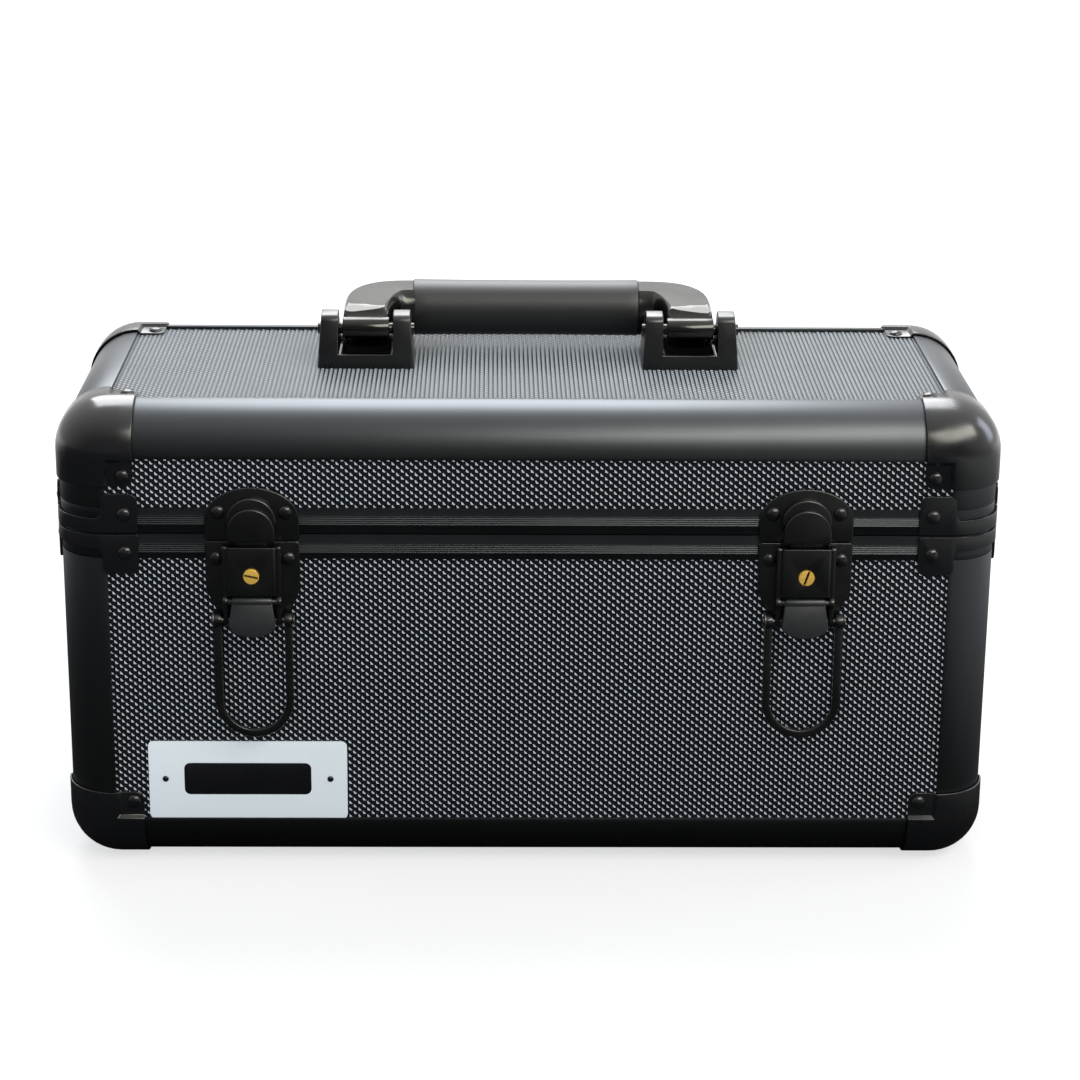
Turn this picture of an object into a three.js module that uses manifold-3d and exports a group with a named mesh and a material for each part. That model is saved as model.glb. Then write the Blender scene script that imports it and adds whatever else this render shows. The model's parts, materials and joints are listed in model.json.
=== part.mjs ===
// Trading card case: a hard case with rounded metal edges, ball corners and two keyed draw latches.
// Millimetres, +Z up. X runs along the front, -Y is the front, and the case stands on z = 0.

import * as THREE from 'three';
import { LoftGeometry } from 'three/addons/geometries/LoftGeometry.js';
import { RoundedBoxGeometry } from 'three/addons/geometries/RoundedBoxGeometry.js';
import { mergeVertices } from 'three/addons/utils/BufferGeometryUtils.js';
import Module from 'manifold-3d';

const wasm = await Module();
wasm.setup();

// Overall size, measured over the flat outer planes of the edge extrusions
const caseWidth = 359;
const caseDepth = 149;
const baseHeight = 136.3;
const lidHeight = 48.3;

// Clearances shared by all pieces
const seatGap = 0.25;
const runningGap = 0.3;
const overrun = 0.4;
const weldDistance = 0.0001;

// Quarter-round edge extrusion with one panel slot at each end
const edgeRadius = 19.2;
const edgeWall = 1.6;
const edgeEndGap = 0.5;
const lipThickness = 1.4;
const flangeThickness = 1.2;
const slotDepth = 4;

// Laminated panels
const panelThickness = 3;

// Rim extrusions that meet at the split
const rimHeight = 10;
const rimGap = 0.4;
const rimSlotDepth = 4;
const tongueHeight = 3;
const tongueGap = 0.4;

// Ball corners
const cornerGap = 0.35;
const cornerWall = 0.8;
const cornerLeg = 30;
const cornerTabDepth = 0.4;
const cornerTabThickness = 1;
const cornerStepWall = 1;

// Rim corner plates
const plateGap = 0.35;
const plateWall = 0.8;
const plateReach = 31.5;
const plateStripHeight = 6;
const plateTabGap = 2.6;
const plateTabStart = 17.5;
const plateRivetInset = 26.3;
const plateRivetDrop = 0.25;

// Rivet heads
const rivetRadius = 2.7;
const rivetHeadHeight = 1.5;
const cornerRivetInset = 26;

// Foam
const insertWall = 5;
const insertDivider = 2.4;
const insertFloor = 6;
const insertTopDrop = 5;
const wellRounding = 3;
const padThickness = 29;

// Handle
const bracketOffset = 64.3;
const bracketWidth = 38.3;
const bracketDepth = 28;
const bracketBaseHeight = 5.5;
const bracketFloor = 2;
const bracketWall = 3.5;
const earThickness = 6.6;
const earBaseDepth = 24;
const earTopRadius = 5;
const handlePinHeight = 14.9;
const handlePinRadius = 2.4;
const barrelRadius = 4.8;
const barrelWidth = 18.4;
const gripLength = 91;
const gripRadius = 11;
const gripBevel = 0.8;
const gripReach = 32.5;
const handleBarRadius = 4;

// Latch, measured outwards from the case's front plane and up from the split
const latchInset = 74.5;
const latchPlateThickness = 1.2;
const keeperHalfWidth = 17.9;
const keeperTop = 18.5;
const keeperBottom = -2.2;
const keeperShoulder = 6;
const keeperRivetX = 12.7;
const keeperRivetZ = 8.8;
const bossHalfWidth = 9.5;
const bossTop = 15.3;
const bossReach = 5;
const bossPocketHalfWidth = 7.2;
const bossPocketTop = 8.2;
const capHalfWidth = 9;
const capTop = 11.8;
const capBottom = -1.2;
const capThickness = 2.4;
const hookArmHalfWidth = 6;
const hookArmThickness = 1.2;
const hookArmReach = 3;
const hookArmBottom = -19;
const hookLift = 4.5;
const latchBaseTop = -2.7;
const latchBaseHalfWidth = 17.9;
const latchBaseStraightBottom = -22;
const latchBaseBottom = -36;
const latchBaseFootHalfWidth = 11.5;
const latchRivetX = 13.6;
const latchRivetZ = -9.5;
const housingHalfWidth = 9.3;
const housingTop = -3.1;
const housingBottom = -22.3;
const housingReach = 8.3;
const housingWall = 1;
const cheekThickness = 1.8;
const cheekReach = 6.6;
const cheekBottom = -36;
const leverPivotReach = 6;
const leverPivotZ = -25.2;
const leverHubRadius = 2.2;
const leverStubRadius = 1.2;
const leverTopHalfWidth = 7.4;
const leverHalfWidth = 8.6;
const leverLength = 13.6;
const leverThickness = 1.3;
const leverTilt = THREE.MathUtils.degToRad(13);
const leverSetOut = 0.6;
const lockZ = -14.3;
const lockRadius = 3;
const lockHeadReach = 9.1;
const lockRearReach = 5;
const lockSlotWidth = 0.9;
const lockSlotDepth = 0.8;
const lockCamLength = 6.2;
const lockCamWidth = 3.4;
const lockCamThickness = 1;
const ringPinReach = 4.9;
const ringPinZ = -33;
const ringPinRadius = 1.1;
const ringPinHalfLength = 15.6;
const ringHalfWidth = 15;
const ringStrip = 3;
const ringThickness = 2;
const ringDrop = 47.6;
const ringEyeRadius = 2.7;
const ringRivetRadius = 2;

// Back hinge
const hingeEndInset = 39.5;
const hingeKnuckles = 7;
const hingeKnuckleGap = 0.4;
const hingeLeafThickness = 1;
const hingeLeafHeight = 9;
const hingeKnuckleRadius = 2.4;
const hingeBoreRadius = 1.4;
const hingePinRadius = 1.1;
const hingeRimGap = 0.3;

// Numbers of segments
const arcSteps = 6;
const cornerSegments = 3;
const wellSegments = 2;
const rivetSides = 8;
const rivetRings = 2;
const roundSides = 12;
const gripSides = 16;
const pinSides = 8;
const armSections = 6;
const armSides = 12;

// Sizes that follow
const panelDepth = lipThickness + seatGap;
const slotFar = panelDepth + panelThickness + seatGap;
const flangeDepth = slotFar + flangeThickness;
const slotBack = edgeRadius - slotDepth;
const panelEdge = slotBack + seatGap;
const edgeEnd = edgeRadius + edgeEndGap;
const cornerProud = cornerGap + cornerWall;
const rimFace = rimGap / 2;
const foamInset = flangeDepth + seatGap;
const foamRadius = edgeRadius - foamInset;
const halfWidth = caseWidth / 2;
const halfDepth = caseDepth / 2;
const rimSlotEnd = rimHeight - rimSlotDepth;
const plateTabHeight = lidHeight - cornerLeg - plateTabGap;
const plateRivetHeight = plateTabHeight / 2 - plateRivetDrop;
const latchOffset = halfWidth - latchInset;
const hingeLength = caseWidth - 2 * hingeEndInset;
const latchFace = seatGap;
const latchPlateReach = latchFace + latchPlateThickness;

const xAxis = new THREE.Vector3(1, 0, 0);
const yAxis = new THREE.Vector3(0, 1, 0);
const zAxis = new THREE.Vector3(0, 0, 1);
const quarterTurn = Math.PI / 2;

// Solids

function solidOf(geometry) {
  const bare = new THREE.BufferGeometry();
  bare.setAttribute('position', geometry.attributes.position);
  bare.setIndex(geometry.index);
  const welded = mergeVertices(bare, weldDistance);
  const mesh = new wasm.Mesh({
    numProp: 3,
    vertProperties: new Float32Array(welded.attributes.position.array),
    triVerts: new Uint32Array(welded.index.array),
  });
  return new wasm.Manifold(mesh);
}

function geometryOf(solid) {
  const mesh = solid.getMesh();
  const geometry = new THREE.BufferGeometry();
  geometry.setAttribute('position', new THREE.BufferAttribute(mesh.vertProperties, 3));
  geometry.setIndex(new THREE.BufferAttribute(mesh.triVerts, 1));
  geometry.computeVertexNormals();
  return geometry;
}

function joined(solids) {
  return solids.reduce((sum, solid) => sum.add(solid));
}

function block([x0, x1], [y0, y1], [z0, z1]) {
  const box = new THREE.BoxGeometry(x1 - x0, y1 - y0, z1 - z0);
  box.translate((x0 + x1) / 2, (y0 + y1) / 2, (z0 + z1) / 2);
  return solidOf(box);
}

// A flat shape in X and Y, given a depth along +Z
function extruded(shape, depth, segments = arcSteps) {
  return new THREE.ExtrudeGeometry(shape, { depth, bevelEnabled: false, curveSegments: segments });
}

function outline(points) {
  return new THREE.Shape(points.map(([x, y]) => new THREE.Vector2(x, y)));
}

// A flat shape drawn in X and Z, given thickness between two outward distances from the front
function frontPlate(shape, nearReach, farReach) {
  const plate = extruded(shape, farReach - nearReach);
  plate.rotateX(quarterTurn);
  plate.translate(0, -nearReach, 0);
  return solidOf(plate);
}

// The range between two values, lowest first
function between(a, b) {
  return [Math.min(a, b), Math.max(a, b)];
}

// A round bar along an axis, from one end to the other
function rod(axis, radius, [from, to], sides) {
  const bar = new THREE.CylinderGeometry(radius, radius, to - from, sides);
  bar.translate(0, (from + to) / 2, 0);
  bar.applyQuaternion(new THREE.Quaternion().setFromUnitVectors(yAxis, axis));
  return solidOf(bar);
}

// A flat-bottomed rivet dome standing on the origin along +Y, sunk a little into its plate
function rivetDome() {
  const profile = [new THREE.Vector2(0, -overrun), new THREE.Vector2(rivetRadius, -overrun)];
  for (let ring = 0; ring <= rivetRings; ring += 1) {
    const angle = (quarterTurn * ring) / rivetRings;
    const radius = ring === rivetRings ? 0 : rivetRadius * Math.cos(angle);
    profile.push(new THREE.Vector2(radius, rivetHeadHeight * Math.sin(angle)));
  }
  return new THREE.LatheGeometry(profile, rivetSides);
}

function rivet(normal, place) {
  const dome = rivetDome();
  dome.applyQuaternion(new THREE.Quaternion().setFromUnitVectors(yAxis, normal));
  dome.translate(place.x, place.y, place.z);
  return solidOf(dome);
}

// Materials

const finish = (color, roughness, metalness) => (
  () => new THREE.MeshStandardMaterial({ color, roughness, metalness })
);
const anodisedBlack = finish('#26282b', 0.38, 0.8);
const ribbedBlack = finish('#2d3130', 0.45, 0.8);
const lacqueredSteel = finish('#121316', 0.28, 0.6);
const dottedLaminate = finish('#3b3d40', 0.55, 0.1);
const blackFoam = finish('#18191b', 0.95, 0);
const darkChrome = finish('#8b8b88', 0.22, 1);
const softGrip = finish('#303237', 0.5, 0);
const brass = finish('#d8a93f', 0.25, 1);

// Scene groups: the base stands on its ball corners, the lid rises from the split

const tradingCardCase = new THREE.Group();
const baseGroup = new THREE.Group();
const lidGroup = new THREE.Group();
const splitPlane = cornerProud + baseHeight;
baseGroup.position.z = cornerProud;
lidGroup.position.z = splitPlane;
tradingCardCase.add(baseGroup, lidGroup);

function addPiece(group, name, solid, material) {
  const mesh = new THREE.Mesh(geometryOf(solid), material);
  mesh.name = name;
  group.add(mesh);
  return mesh;
}

// Turns a piece so that its local X and Y axes point along two given inward directions
function turnTo(mesh, inwardA, inwardB) {
  const along = new THREE.Vector3().crossVectors(inwardA, inwardB);
  mesh.quaternion.setFromRotationMatrix(new THREE.Matrix4().makeBasis(inwardA, inwardB, along));
}

const toRight = xAxis;
const toLeft = xAxis.clone().negate();
const toBack = yAxis;
const toFront = yAxis.clone().negate();
const upwards = zAxis;
const downwards = zAxis.clone().negate();

// Edge extrusions

// Section: x and y run inwards from the two outer planes, with a panel slot beside each plane
function edgeSection() {
  const back = slotBack - edgeWall;
  const innerRadius = edgeRadius - edgeWall;
  const spread = Math.asin((edgeRadius - back) / innerRadius);
  const section = new THREE.Shape();
  section.moveTo(0, edgeRadius);
  section.absarc(edgeRadius, edgeRadius, edgeRadius, Math.PI, Math.PI + quarterTurn, false);
  section.lineTo(edgeRadius, lipThickness);
  section.lineTo(slotBack, lipThickness);
  section.lineTo(slotBack, slotFar);
  section.lineTo(edgeRadius, slotFar);
  section.lineTo(edgeRadius, flangeDepth);
  section.lineTo(back, flangeDepth);
  section.absarc(edgeRadius, edgeRadius, innerRadius, Math.PI + quarterTurn - spread, Math.PI + spread, true);
  section.lineTo(flangeDepth, back);
  section.lineTo(flangeDepth, edgeRadius);
  section.lineTo(slotFar, edgeRadius);
  section.lineTo(slotFar, slotBack);
  section.lineTo(lipThickness, slotBack);
  section.lineTo(lipThickness, edgeRadius);
  section.closePath();
  return section;
}

function edgeBar(from, to) {
  const bar = extruded(edgeSection(), to - from);
  bar.translate(0, 0, from);
  return solidOf(bar);
}

const longEdge = edgeBar(edgeEnd - halfWidth, halfWidth - edgeEnd);
const shortEdge = edgeBar(edgeEnd - halfDepth, halfDepth - edgeEnd);

// The four edges round the bottom of the base or the top of the lid
function addEdges(group, prefix, plane, inwards) {
  const sides = [
    ['front_edge', longEdge, 0, -halfDepth, toBack],
    ['back_edge', longEdge, 0, halfDepth, toFront],
    ['left_edge', shortEdge, -halfWidth, 0, toRight],
    ['right_edge', shortEdge, halfWidth, 0, toLeft],
  ];
  for (const [name, bar, x, y, sideInwards] of sides) {
    const edge = addPiece(group, `${prefix}_${name}`, bar, anodisedBlack());
    turnTo(edge, sideInwards, inwards);
    edge.position.set(x, y, plane);
  }
}

addEdges(baseGroup, 'base', 0, upwards);
addEdges(lidGroup, 'lid', lidHeight, downwards);

// The four vertical corners, each with its two inward directions
const verticalCorners = [
  ['front_left', -1, -1],
  ['front_right', 1, -1],
  ['back_left', -1, 1],
  ['back_right', 1, 1],
].map(([name, sideX, sideY]) => ({
  name,
  x: sideX * halfWidth,
  y: sideY * halfDepth,
  inwardX: sideX < 0 ? toRight : toLeft,
  inwardY: sideY < 0 ? toBack : toFront,
  righthanded: sideX * sideY > 0,
}));

// Lays a piece that is the same about its diagonal into a corner, with its Z axis up or down
function layInCorner(mesh, corner, plane, upright) {
  const swapped = corner.righthanded !== upright;
  if (swapped) {
    turnTo(mesh, corner.inwardY, corner.inwardX);
  } else {
    turnTo(mesh, corner.inwardX, corner.inwardY);
  }
  mesh.position.set(corner.x, corner.y, plane);
}

const rimBottom = baseHeight - rimHeight;
const postBar = edgeBar(edgeEnd, rimBottom - seatGap);
for (const corner of verticalCorners) {
  const post = addPiece(baseGroup, `base_${corner.name}_post`, postBar, anodisedBlack());
  layInCorner(post, corner, 0, true);
}

// Panels

function addPanel(group, name, xs, ys, zs) {
  addPiece(group, name, block(xs, ys, zs), dottedLaminate());
}

const panelSpanX = [panelEdge - halfWidth, halfWidth - panelEdge];
const panelSpanY = [panelEdge - halfDepth, halfDepth - panelEdge];
const panelInner = panelDepth + panelThickness;
const frontPanelY = [panelDepth - halfDepth, panelInner - halfDepth];
const backPanelY = [halfDepth - panelInner, halfDepth - panelDepth];
const leftPanelX = [panelDepth - halfWidth, panelInner - halfWidth];
const rightPanelX = [halfWidth - panelInner, halfWidth - panelDepth];

function addWalls(group, prefix, wallZ) {
  addPanel(group, `${prefix}_front_panel`, panelSpanX, frontPanelY, wallZ);
  addPanel(group, `${prefix}_back_panel`, panelSpanX, backPanelY, wallZ);
  addPanel(group, `${prefix}_left_panel`, leftPanelX, panelSpanY, wallZ);
  addPanel(group, `${prefix}_right_panel`, rightPanelX, panelSpanY, wallZ);
}

addWalls(baseGroup, 'base', [panelEdge, rimBottom + rimSlotDepth - seatGap]);
addWalls(lidGroup, 'lid', [rimSlotEnd + seatGap, lidHeight - panelEdge]);
addPanel(baseGroup, 'base_floor_panel', panelSpanX, panelSpanY, [panelDepth, panelInner]);
addPanel(lidGroup, 'lid_top_panel', panelSpanX, panelSpanY, [lidHeight - panelInner, lidHeight - panelDepth]);

// Rims

function roundedRectangle(path, inset) {
  const x = halfWidth - inset;
  const y = halfDepth - inset;
  const r = edgeRadius - inset;
  path.moveTo(x, r - y);
  path.lineTo(x, y - r);
  path.absarc(x - r, y - r, r, 0, quarterTurn, false);
  path.lineTo(r - x, y);
  path.absarc(r - x, y - r, r, quarterTurn, Math.PI, false);
  path.lineTo(-x, r - y);
  path.absarc(r - x, r - y, r, Math.PI, Math.PI + quarterTurn, false);
  path.lineTo(x - r, -y);
  path.absarc(x - r, r - y, r, Math.PI + quarterTurn, 2 * Math.PI, false);
  path.closePath();
  return path;
}

// A band that follows the case's outline between two insets
function band(outerInset, innerInset, low, high) {
  const shape = roundedRectangle(new THREE.Shape(), outerInset);
  shape.holes.push(roundedRectangle(new THREE.Path(), innerInset));
  const ring = extruded(shape, high - low);
  ring.translate(0, 0, low);
  return solidOf(ring);
}

// The four straight slots that hold the panels' edges, as one cutter
function panelSlots(low, high) {
  const alongX = [slotBack - halfWidth, halfWidth - slotBack];
  const alongY = [slotBack - halfDepth, halfDepth - slotBack];
  const heights = [low, high];
  return joined([
    block(alongX, [lipThickness - halfDepth, slotFar - halfDepth], heights),
    block(alongX, [halfDepth - slotFar, halfDepth - lipThickness], heights),
    block([lipThickness - halfWidth, slotFar - halfWidth], alongY, heights),
    block([halfWidth - slotFar, halfWidth - lipThickness], alongY, heights),
  ]);
}

// The base rim: slots below for the panels, and a tongue above inside the split
const baseRim = band(0, flangeDepth, rimBottom, baseHeight - rimFace)
  .subtract(panelSlots(rimBottom - overrun, rimBottom + rimSlotDepth))
  .add(band(slotFar, flangeDepth, baseHeight - overrun, baseHeight + tongueHeight));
addPiece(baseGroup, 'base_rim', baseRim, ribbedBlack());

// The lid rim: slots above, a rebate for the tongue, and the four short corner posts in one with it
const lidPosts = verticalCorners.map((corner) => {
  const post = new THREE.Object3D();
  layInCorner(post, corner, 0, true);
  post.updateMatrix();
  const bar = geometryOf(edgeBar(rimHeight - overrun, lidHeight - edgeEnd));
  bar.applyMatrix4(post.matrix);
  return solidOf(bar);
});
const rebateTop = tongueHeight + tongueGap;
const lidRim = band(0, flangeDepth, rimFace, rimHeight)
  .subtract(panelSlots(rimSlotEnd, rimHeight + overrun))
  .subtract(band(slotFar - runningGap, flangeDepth + overrun, rimFace - overrun, rebateTop));
addPiece(lidGroup, 'lid_rim', joined([lidRim, ...lidPosts]), ribbedBlack());

// Ball corners

// Unit: the outer planes' corner is at the origin and the three legs run along +X, +Y and +Z
function ballCornerShell(gap) {
  const span = 2 * (cornerLeg + edgeRadius);
  const size = span + gap;
  const rounded = new RoundedBoxGeometry(size, size, size, cornerSegments, edgeRadius + gap);
  rounded.translate(size / 2 - gap, size / 2 - gap, size / 2 - gap);
  return solidOf(rounded);
}

// Calls make with the three pairings of a face's normal axis and its two in-plane axes
function onThreeFaces(make) {
  return [0, 1, 2].map((normalAxis) => {
    const place = (across, along, depth) => {
      const values = [0, 0, 0];
      values[normalAxis] = depth;
      values[(normalAxis + 1) % 3] = across;
      values[(normalAxis + 2) % 3] = along;
      return values;
    };
    return make(place);
  });
}

function blockOnFace(place, across, along, depth) {
  const low = place(across[0], along[0], depth[0]);
  const high = place(across[1], along[1], depth[1]);
  return block([low[0], high[0]], [low[1], high[1]], [low[2], high[2]]);
}

function ballCorner() {
  const outside = -cornerProud - overrun;
  const stepStart = edgeRadius + seatGap;
  const tabStart = stepStart + cornerStepWall;
  const tabUnder = cornerTabDepth + cornerTabThickness;
  const reach = [-cornerProud - overrun, cornerLeg];
  const window = [tabStart, cornerLeg + overrun];
  const tray = [stepStart, cornerLeg];
  const shell = ballCornerShell(cornerProud)
    .subtract(ballCornerShell(cornerGap))
    .intersect(block(reach, reach, reach));
  const windows = onThreeFaces((place) => blockOnFace(place, window, window, [outside, edgeRadius]));
  const trays = onThreeFaces((place) => blockOnFace(place, tray, tray, [-cornerProud, tabUnder]));
  const pockets = onThreeFaces((place) => blockOnFace(place, window, window, [outside, cornerTabDepth]));
  const rivets = onThreeFaces((place) => {
    const seat = new THREE.Vector3(...place(cornerRivetInset, cornerRivetInset, cornerTabDepth));
    const normal = new THREE.Vector3(...place(0, 0, -1));
    return rivet(normal, seat);
  });
  const opened = windows.reduce((sum, cut) => sum.subtract(cut), shell);
  const tabs = pockets.reduce((sum, cut) => sum.subtract(cut), joined(trays));
  return joined([opened, tabs, ...rivets]);
}

const ballCornerSolid = ballCorner();
for (const corner of verticalCorners) {
  const low = addPiece(baseGroup, `base_${corner.name}_ball_corner`, ballCornerSolid, lacqueredSteel());
  layInCorner(low, corner, 0, true);
  const high = addPiece(lidGroup, `lid_${corner.name}_ball_corner`, ballCornerSolid, lacqueredSteel());
  layInCorner(high, corner, lidHeight, false);
}

// Rim corner plates

// Unit: a strip bent round the corner at the split, z = 0, with a taller tab at each end
function rimCornerPlate() {
  const outer = -(plateGap + plateWall);
  const inner = -plateGap;
  const centre = edgeRadius;
  const strip = new THREE.Shape();
  strip.moveTo(plateReach, outer);
  strip.lineTo(plateReach, inner);
  strip.lineTo(centre, inner);
  strip.absarc(centre, centre, edgeRadius - inner, Math.PI + quarterTurn, Math.PI, true);
  strip.lineTo(inner, plateReach);
  strip.lineTo(outer, plateReach);
  strip.lineTo(outer, centre);
  strip.absarc(centre, centre, edgeRadius - outer, Math.PI, Math.PI + quarterTurn, false);
  strip.closePath();
  const extrude = (height) => {
    const wrap = extruded(strip, height);
    wrap.translate(0, 0, rimFace + seatGap);
    return solidOf(wrap);
  };
  const low = extrude(plateStripHeight - rimFace - seatGap);
  const tall = extrude(plateTabHeight - rimFace - seatGap);
  const beyond = [outer - overrun, plateReach + overrun];
  const keep = [plateTabStart, plateReach + overrun];
  const heights = [0, plateTabHeight + overrun];
  const tabs = tall
    .intersect(block(keep, beyond, heights))
    .add(tall.intersect(block(beyond, keep, heights)));
  const rivets = [
    rivet(toFront, new THREE.Vector3(plateRivetInset, outer, plateRivetHeight)),
    rivet(toLeft, new THREE.Vector3(outer, plateRivetInset, plateRivetHeight)),
  ];
  return joined([low, tabs, ...rivets]);
}

const rimCornerSolid = rimCornerPlate();
for (const corner of verticalCorners) {
  const low = addPiece(baseGroup, `base_${corner.name}_rim_corner`, rimCornerSolid, lacqueredSteel());
  layInCorner(low, corner, baseHeight, false);
  const high = addPiece(lidGroup, `lid_${corner.name}_rim_corner`, rimCornerSolid, lacqueredSteel());
  layInCorner(high, corner, 0, true);
}

// Foam

// A foam block with rounded edges that fills the shell, cut flat at the open side
function foamBlock(low, high, openAbove) {
  const extra = 2 * foamRadius;
  const x = caseWidth - 2 * foamInset;
  const y = caseDepth - 2 * foamInset;
  const z = high - low + extra;
  const foam = new RoundedBoxGeometry(x, y, z, cornerSegments, foamRadius);
  foam.translate(0, 0, openAbove ? low + z / 2 : high - z / 2);
  return solidOf(foam).intersect(block([-halfWidth, halfWidth], [-halfDepth, halfDepth], [low, high]));
}

const wellCount = 4;
const insertTop = baseHeight - insertTopDrop;
const wellSpan = caseWidth - 2 * (foamInset + insertWall);
const wellWidth = (wellSpan - (wellCount - 1) * insertDivider) / wellCount;
const wellHalfDepth = halfDepth - foamInset - insertWall;

function well(centre) {
  const x = wellWidth / 2 - wellRounding;
  const y = wellHalfDepth - wellRounding;
  const shape = new THREE.Shape();
  shape.absarc(x, y, wellRounding, 0, quarterTurn, false);
  shape.absarc(-x, y, wellRounding, quarterTurn, Math.PI, false);
  shape.absarc(-x, -y, wellRounding, Math.PI, Math.PI + quarterTurn, false);
  shape.absarc(x, -y, wellRounding, Math.PI + quarterTurn, 2 * Math.PI, false);
  shape.closePath();
  const hollow = extruded(shape, insertTop, wellSegments);
  hollow.translate(centre, 0, foamInset + insertFloor);
  return solidOf(hollow);
}

let insert = foamBlock(foamInset, insertTop, true);
for (let column = 0; column < wellCount; column += 1) {
  const fromMiddle = column - (wellCount - 1) / 2;
  insert = insert.subtract(well(fromMiddle * (wellWidth + insertDivider)));
}
addPiece(baseGroup, 'card_insert', insert, blackFoam());

const padTop = lidHeight - foamInset;
addPiece(lidGroup, 'lid_foam_pad', foamBlock(padTop - padThickness, padTop, false), blackFoam());

// Handle: the pivot pins lie on local y = 0, z = 0, and the grip lies folded to the back

const handleGroup = new THREE.Group();
handleGroup.position.z = lidHeight - panelDepth + handlePinHeight;
lidGroup.add(handleGroup);

function bracket() {
  const bottom = seatGap - handlePinHeight;
  const deck = bottom + bracketBaseHeight;
  const side = bracketWidth / 2;
  const depth = bracketDepth / 2;
  const baseBlock = block([-side, side], [-depth, depth], [bottom, deck]);
  const pocketX = side - earThickness - runningGap;
  const pocketY = depth - bracketWall;
  const pocket = block([-pocketX, pocketX], [-pocketY, pocketY], [bottom + bracketFloor, deck + overrun]);
  const ear = new THREE.Shape();
  ear.moveTo(-earBaseDepth / 2, deck - overrun);
  ear.lineTo(earBaseDepth / 2, deck - overrun);
  ear.absarc(0, 0, earTopRadius, 0, Math.PI, false);
  ear.closePath();
  const drilled = new THREE.Path();
  drilled.absarc(0, 0, handlePinRadius + runningGap, 0, 2 * Math.PI, true);
  ear.holes.push(drilled);
  const ears = [-side, side - earThickness].map((start) => {
    const plate = extruded(ear, earThickness);
    plate.rotateX(quarterTurn);
    plate.rotateZ(quarterTurn);
    plate.translate(start, 0, 0);
    return solidOf(plate);
  });
  return joined([baseBlock.subtract(pocket), ...ears]);
}

const bracketSolid = bracket();
for (const [name, side] of [['left', -1], ['right', 1]]) {
  const piece = addPiece(handleGroup, `handle_${name}_bracket`, bracketSolid, lacqueredSteel());
  piece.position.x = side * bracketOffset;
}

// One cast arm, from its barrel between the ears to the end of the grip; side is -1 or 1
function handleArm(side) {
  const endX = gripLength / 2;
  const sweepX = bracketOffset - endX;
  const sections = [];
  for (let step = 0; step <= armSections; step += 1) {
    const turn = (quarterTurn * step) / armSections;
    const share = Math.sin(turn);
    const centre = new THREE.Vector3(side * (endX + sweepX * Math.cos(turn)), gripReach * share, 0);
    const ahead = new THREE.Vector3(-side * sweepX * share, gripReach * Math.cos(turn), 0).normalize();
    const across = new THREE.Vector3().crossVectors(ahead, zAxis);
    const halfAcross = THREE.MathUtils.lerp(barrelWidth / 2, gripRadius, share);
    const halfHeight = THREE.MathUtils.lerp(barrelRadius, gripRadius, share);
    const points = [];
    for (let corner = 0; corner < armSides; corner += 1) {
      const angle = (-2 * Math.PI * corner) / armSides;
      points.push(
        centre.clone()
          .addScaledVector(across, halfAcross * Math.cos(angle))
          .addScaledVector(zAxis, halfHeight * Math.sin(angle)),
      );
    }
    sections.push(points);
  }
  return solidOf(new LoftGeometry(sections, { capStart: true, capEnd: true }));
}

function handleFrame() {
  const barrelHalf = barrelWidth / 2;
  const pinHalf = bracketWidth / 2;
  const coreHalf = gripLength / 2 + overrun;
  const core = rod(xAxis, handleBarRadius, [-coreHalf, coreHalf], roundSides).translate(0, gripReach, 0);
  const pieces = [core];
  for (const side of [-1, 1]) {
    const centre = side * bracketOffset;
    pieces.push(handleArm(side));
    pieces.push(rod(xAxis, barrelRadius, [centre - barrelHalf, centre + barrelHalf], roundSides));
    pieces.push(rod(xAxis, handlePinRadius, [centre - pinHalf, centre + pinHalf], pinSides));
  }
  return joined(pieces);
}

addPiece(handleGroup, 'handle_frame', handleFrame(), darkChrome());

// The grip is a sleeve on the core bar
function gripSleeve() {
  const half = gripLength / 2 - runningGap;
  const bore = handleBarRadius + runningGap;
  const profile = [
    [bore, -half],
    [gripRadius - gripBevel, -half],
    [gripRadius, gripBevel - half],
    [gripRadius, half - gripBevel],
    [gripRadius - gripBevel, half],
    [bore, half],
    [bore, -half],
  ].map(([radius, along]) => new THREE.Vector2(radius, along));
  const sleeve = new THREE.LatheGeometry(profile, gripSides);
  sleeve.rotateZ(quarterTurn);
  sleeve.translate(0, gripReach, 0);
  return solidOf(sleeve);
}

addPiece(handleGroup, 'handle_grip', gripSleeve(), softGrip());

// Latches: local x from the latch's middle, y = 0 on the case's front plane, z = 0 at the split

// A plate outline with a domed top over straight sides
function domedShape(halfWide, bottom, top, shoulder) {
  const shape = new THREE.Shape();
  shape.moveTo(-halfWide, bottom);
  shape.lineTo(halfWide, bottom);
  shape.lineTo(halfWide, shoulder);
  shape.absellipse(0, shoulder, halfWide, top - shoulder, 0, Math.PI, false, 0);
  shape.closePath();
  return shape;
}

function rivetPair(x, z) {
  return [-x, x].map((side) => rivet(toFront, new THREE.Vector3(side, -latchPlateReach, z)));
}

function keeper() {
  const plateShape = domedShape(keeperHalfWidth, keeperBottom, keeperTop, keeperShoulder);
  const plate = frontPlate(plateShape, latchFace, latchPlateReach);
  const bossBottom = capBottom + hookLift;
  const bossShape = domedShape(bossHalfWidth, bossBottom, bossTop, bossTop - bossHalfWidth);
  const boss = frontPlate(bossShape, latchPlateReach - overrun, bossReach);
  const pocket = block(
    [-bossPocketHalfWidth, bossPocketHalfWidth],
    [-bossReach - overrun, -latchPlateReach],
    [bossBottom - overrun, bossPocketTop],
  );
  return joined([plate, boss.subtract(pocket), ...rivetPair(keeperRivetX, keeperRivetZ)]);
}

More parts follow.
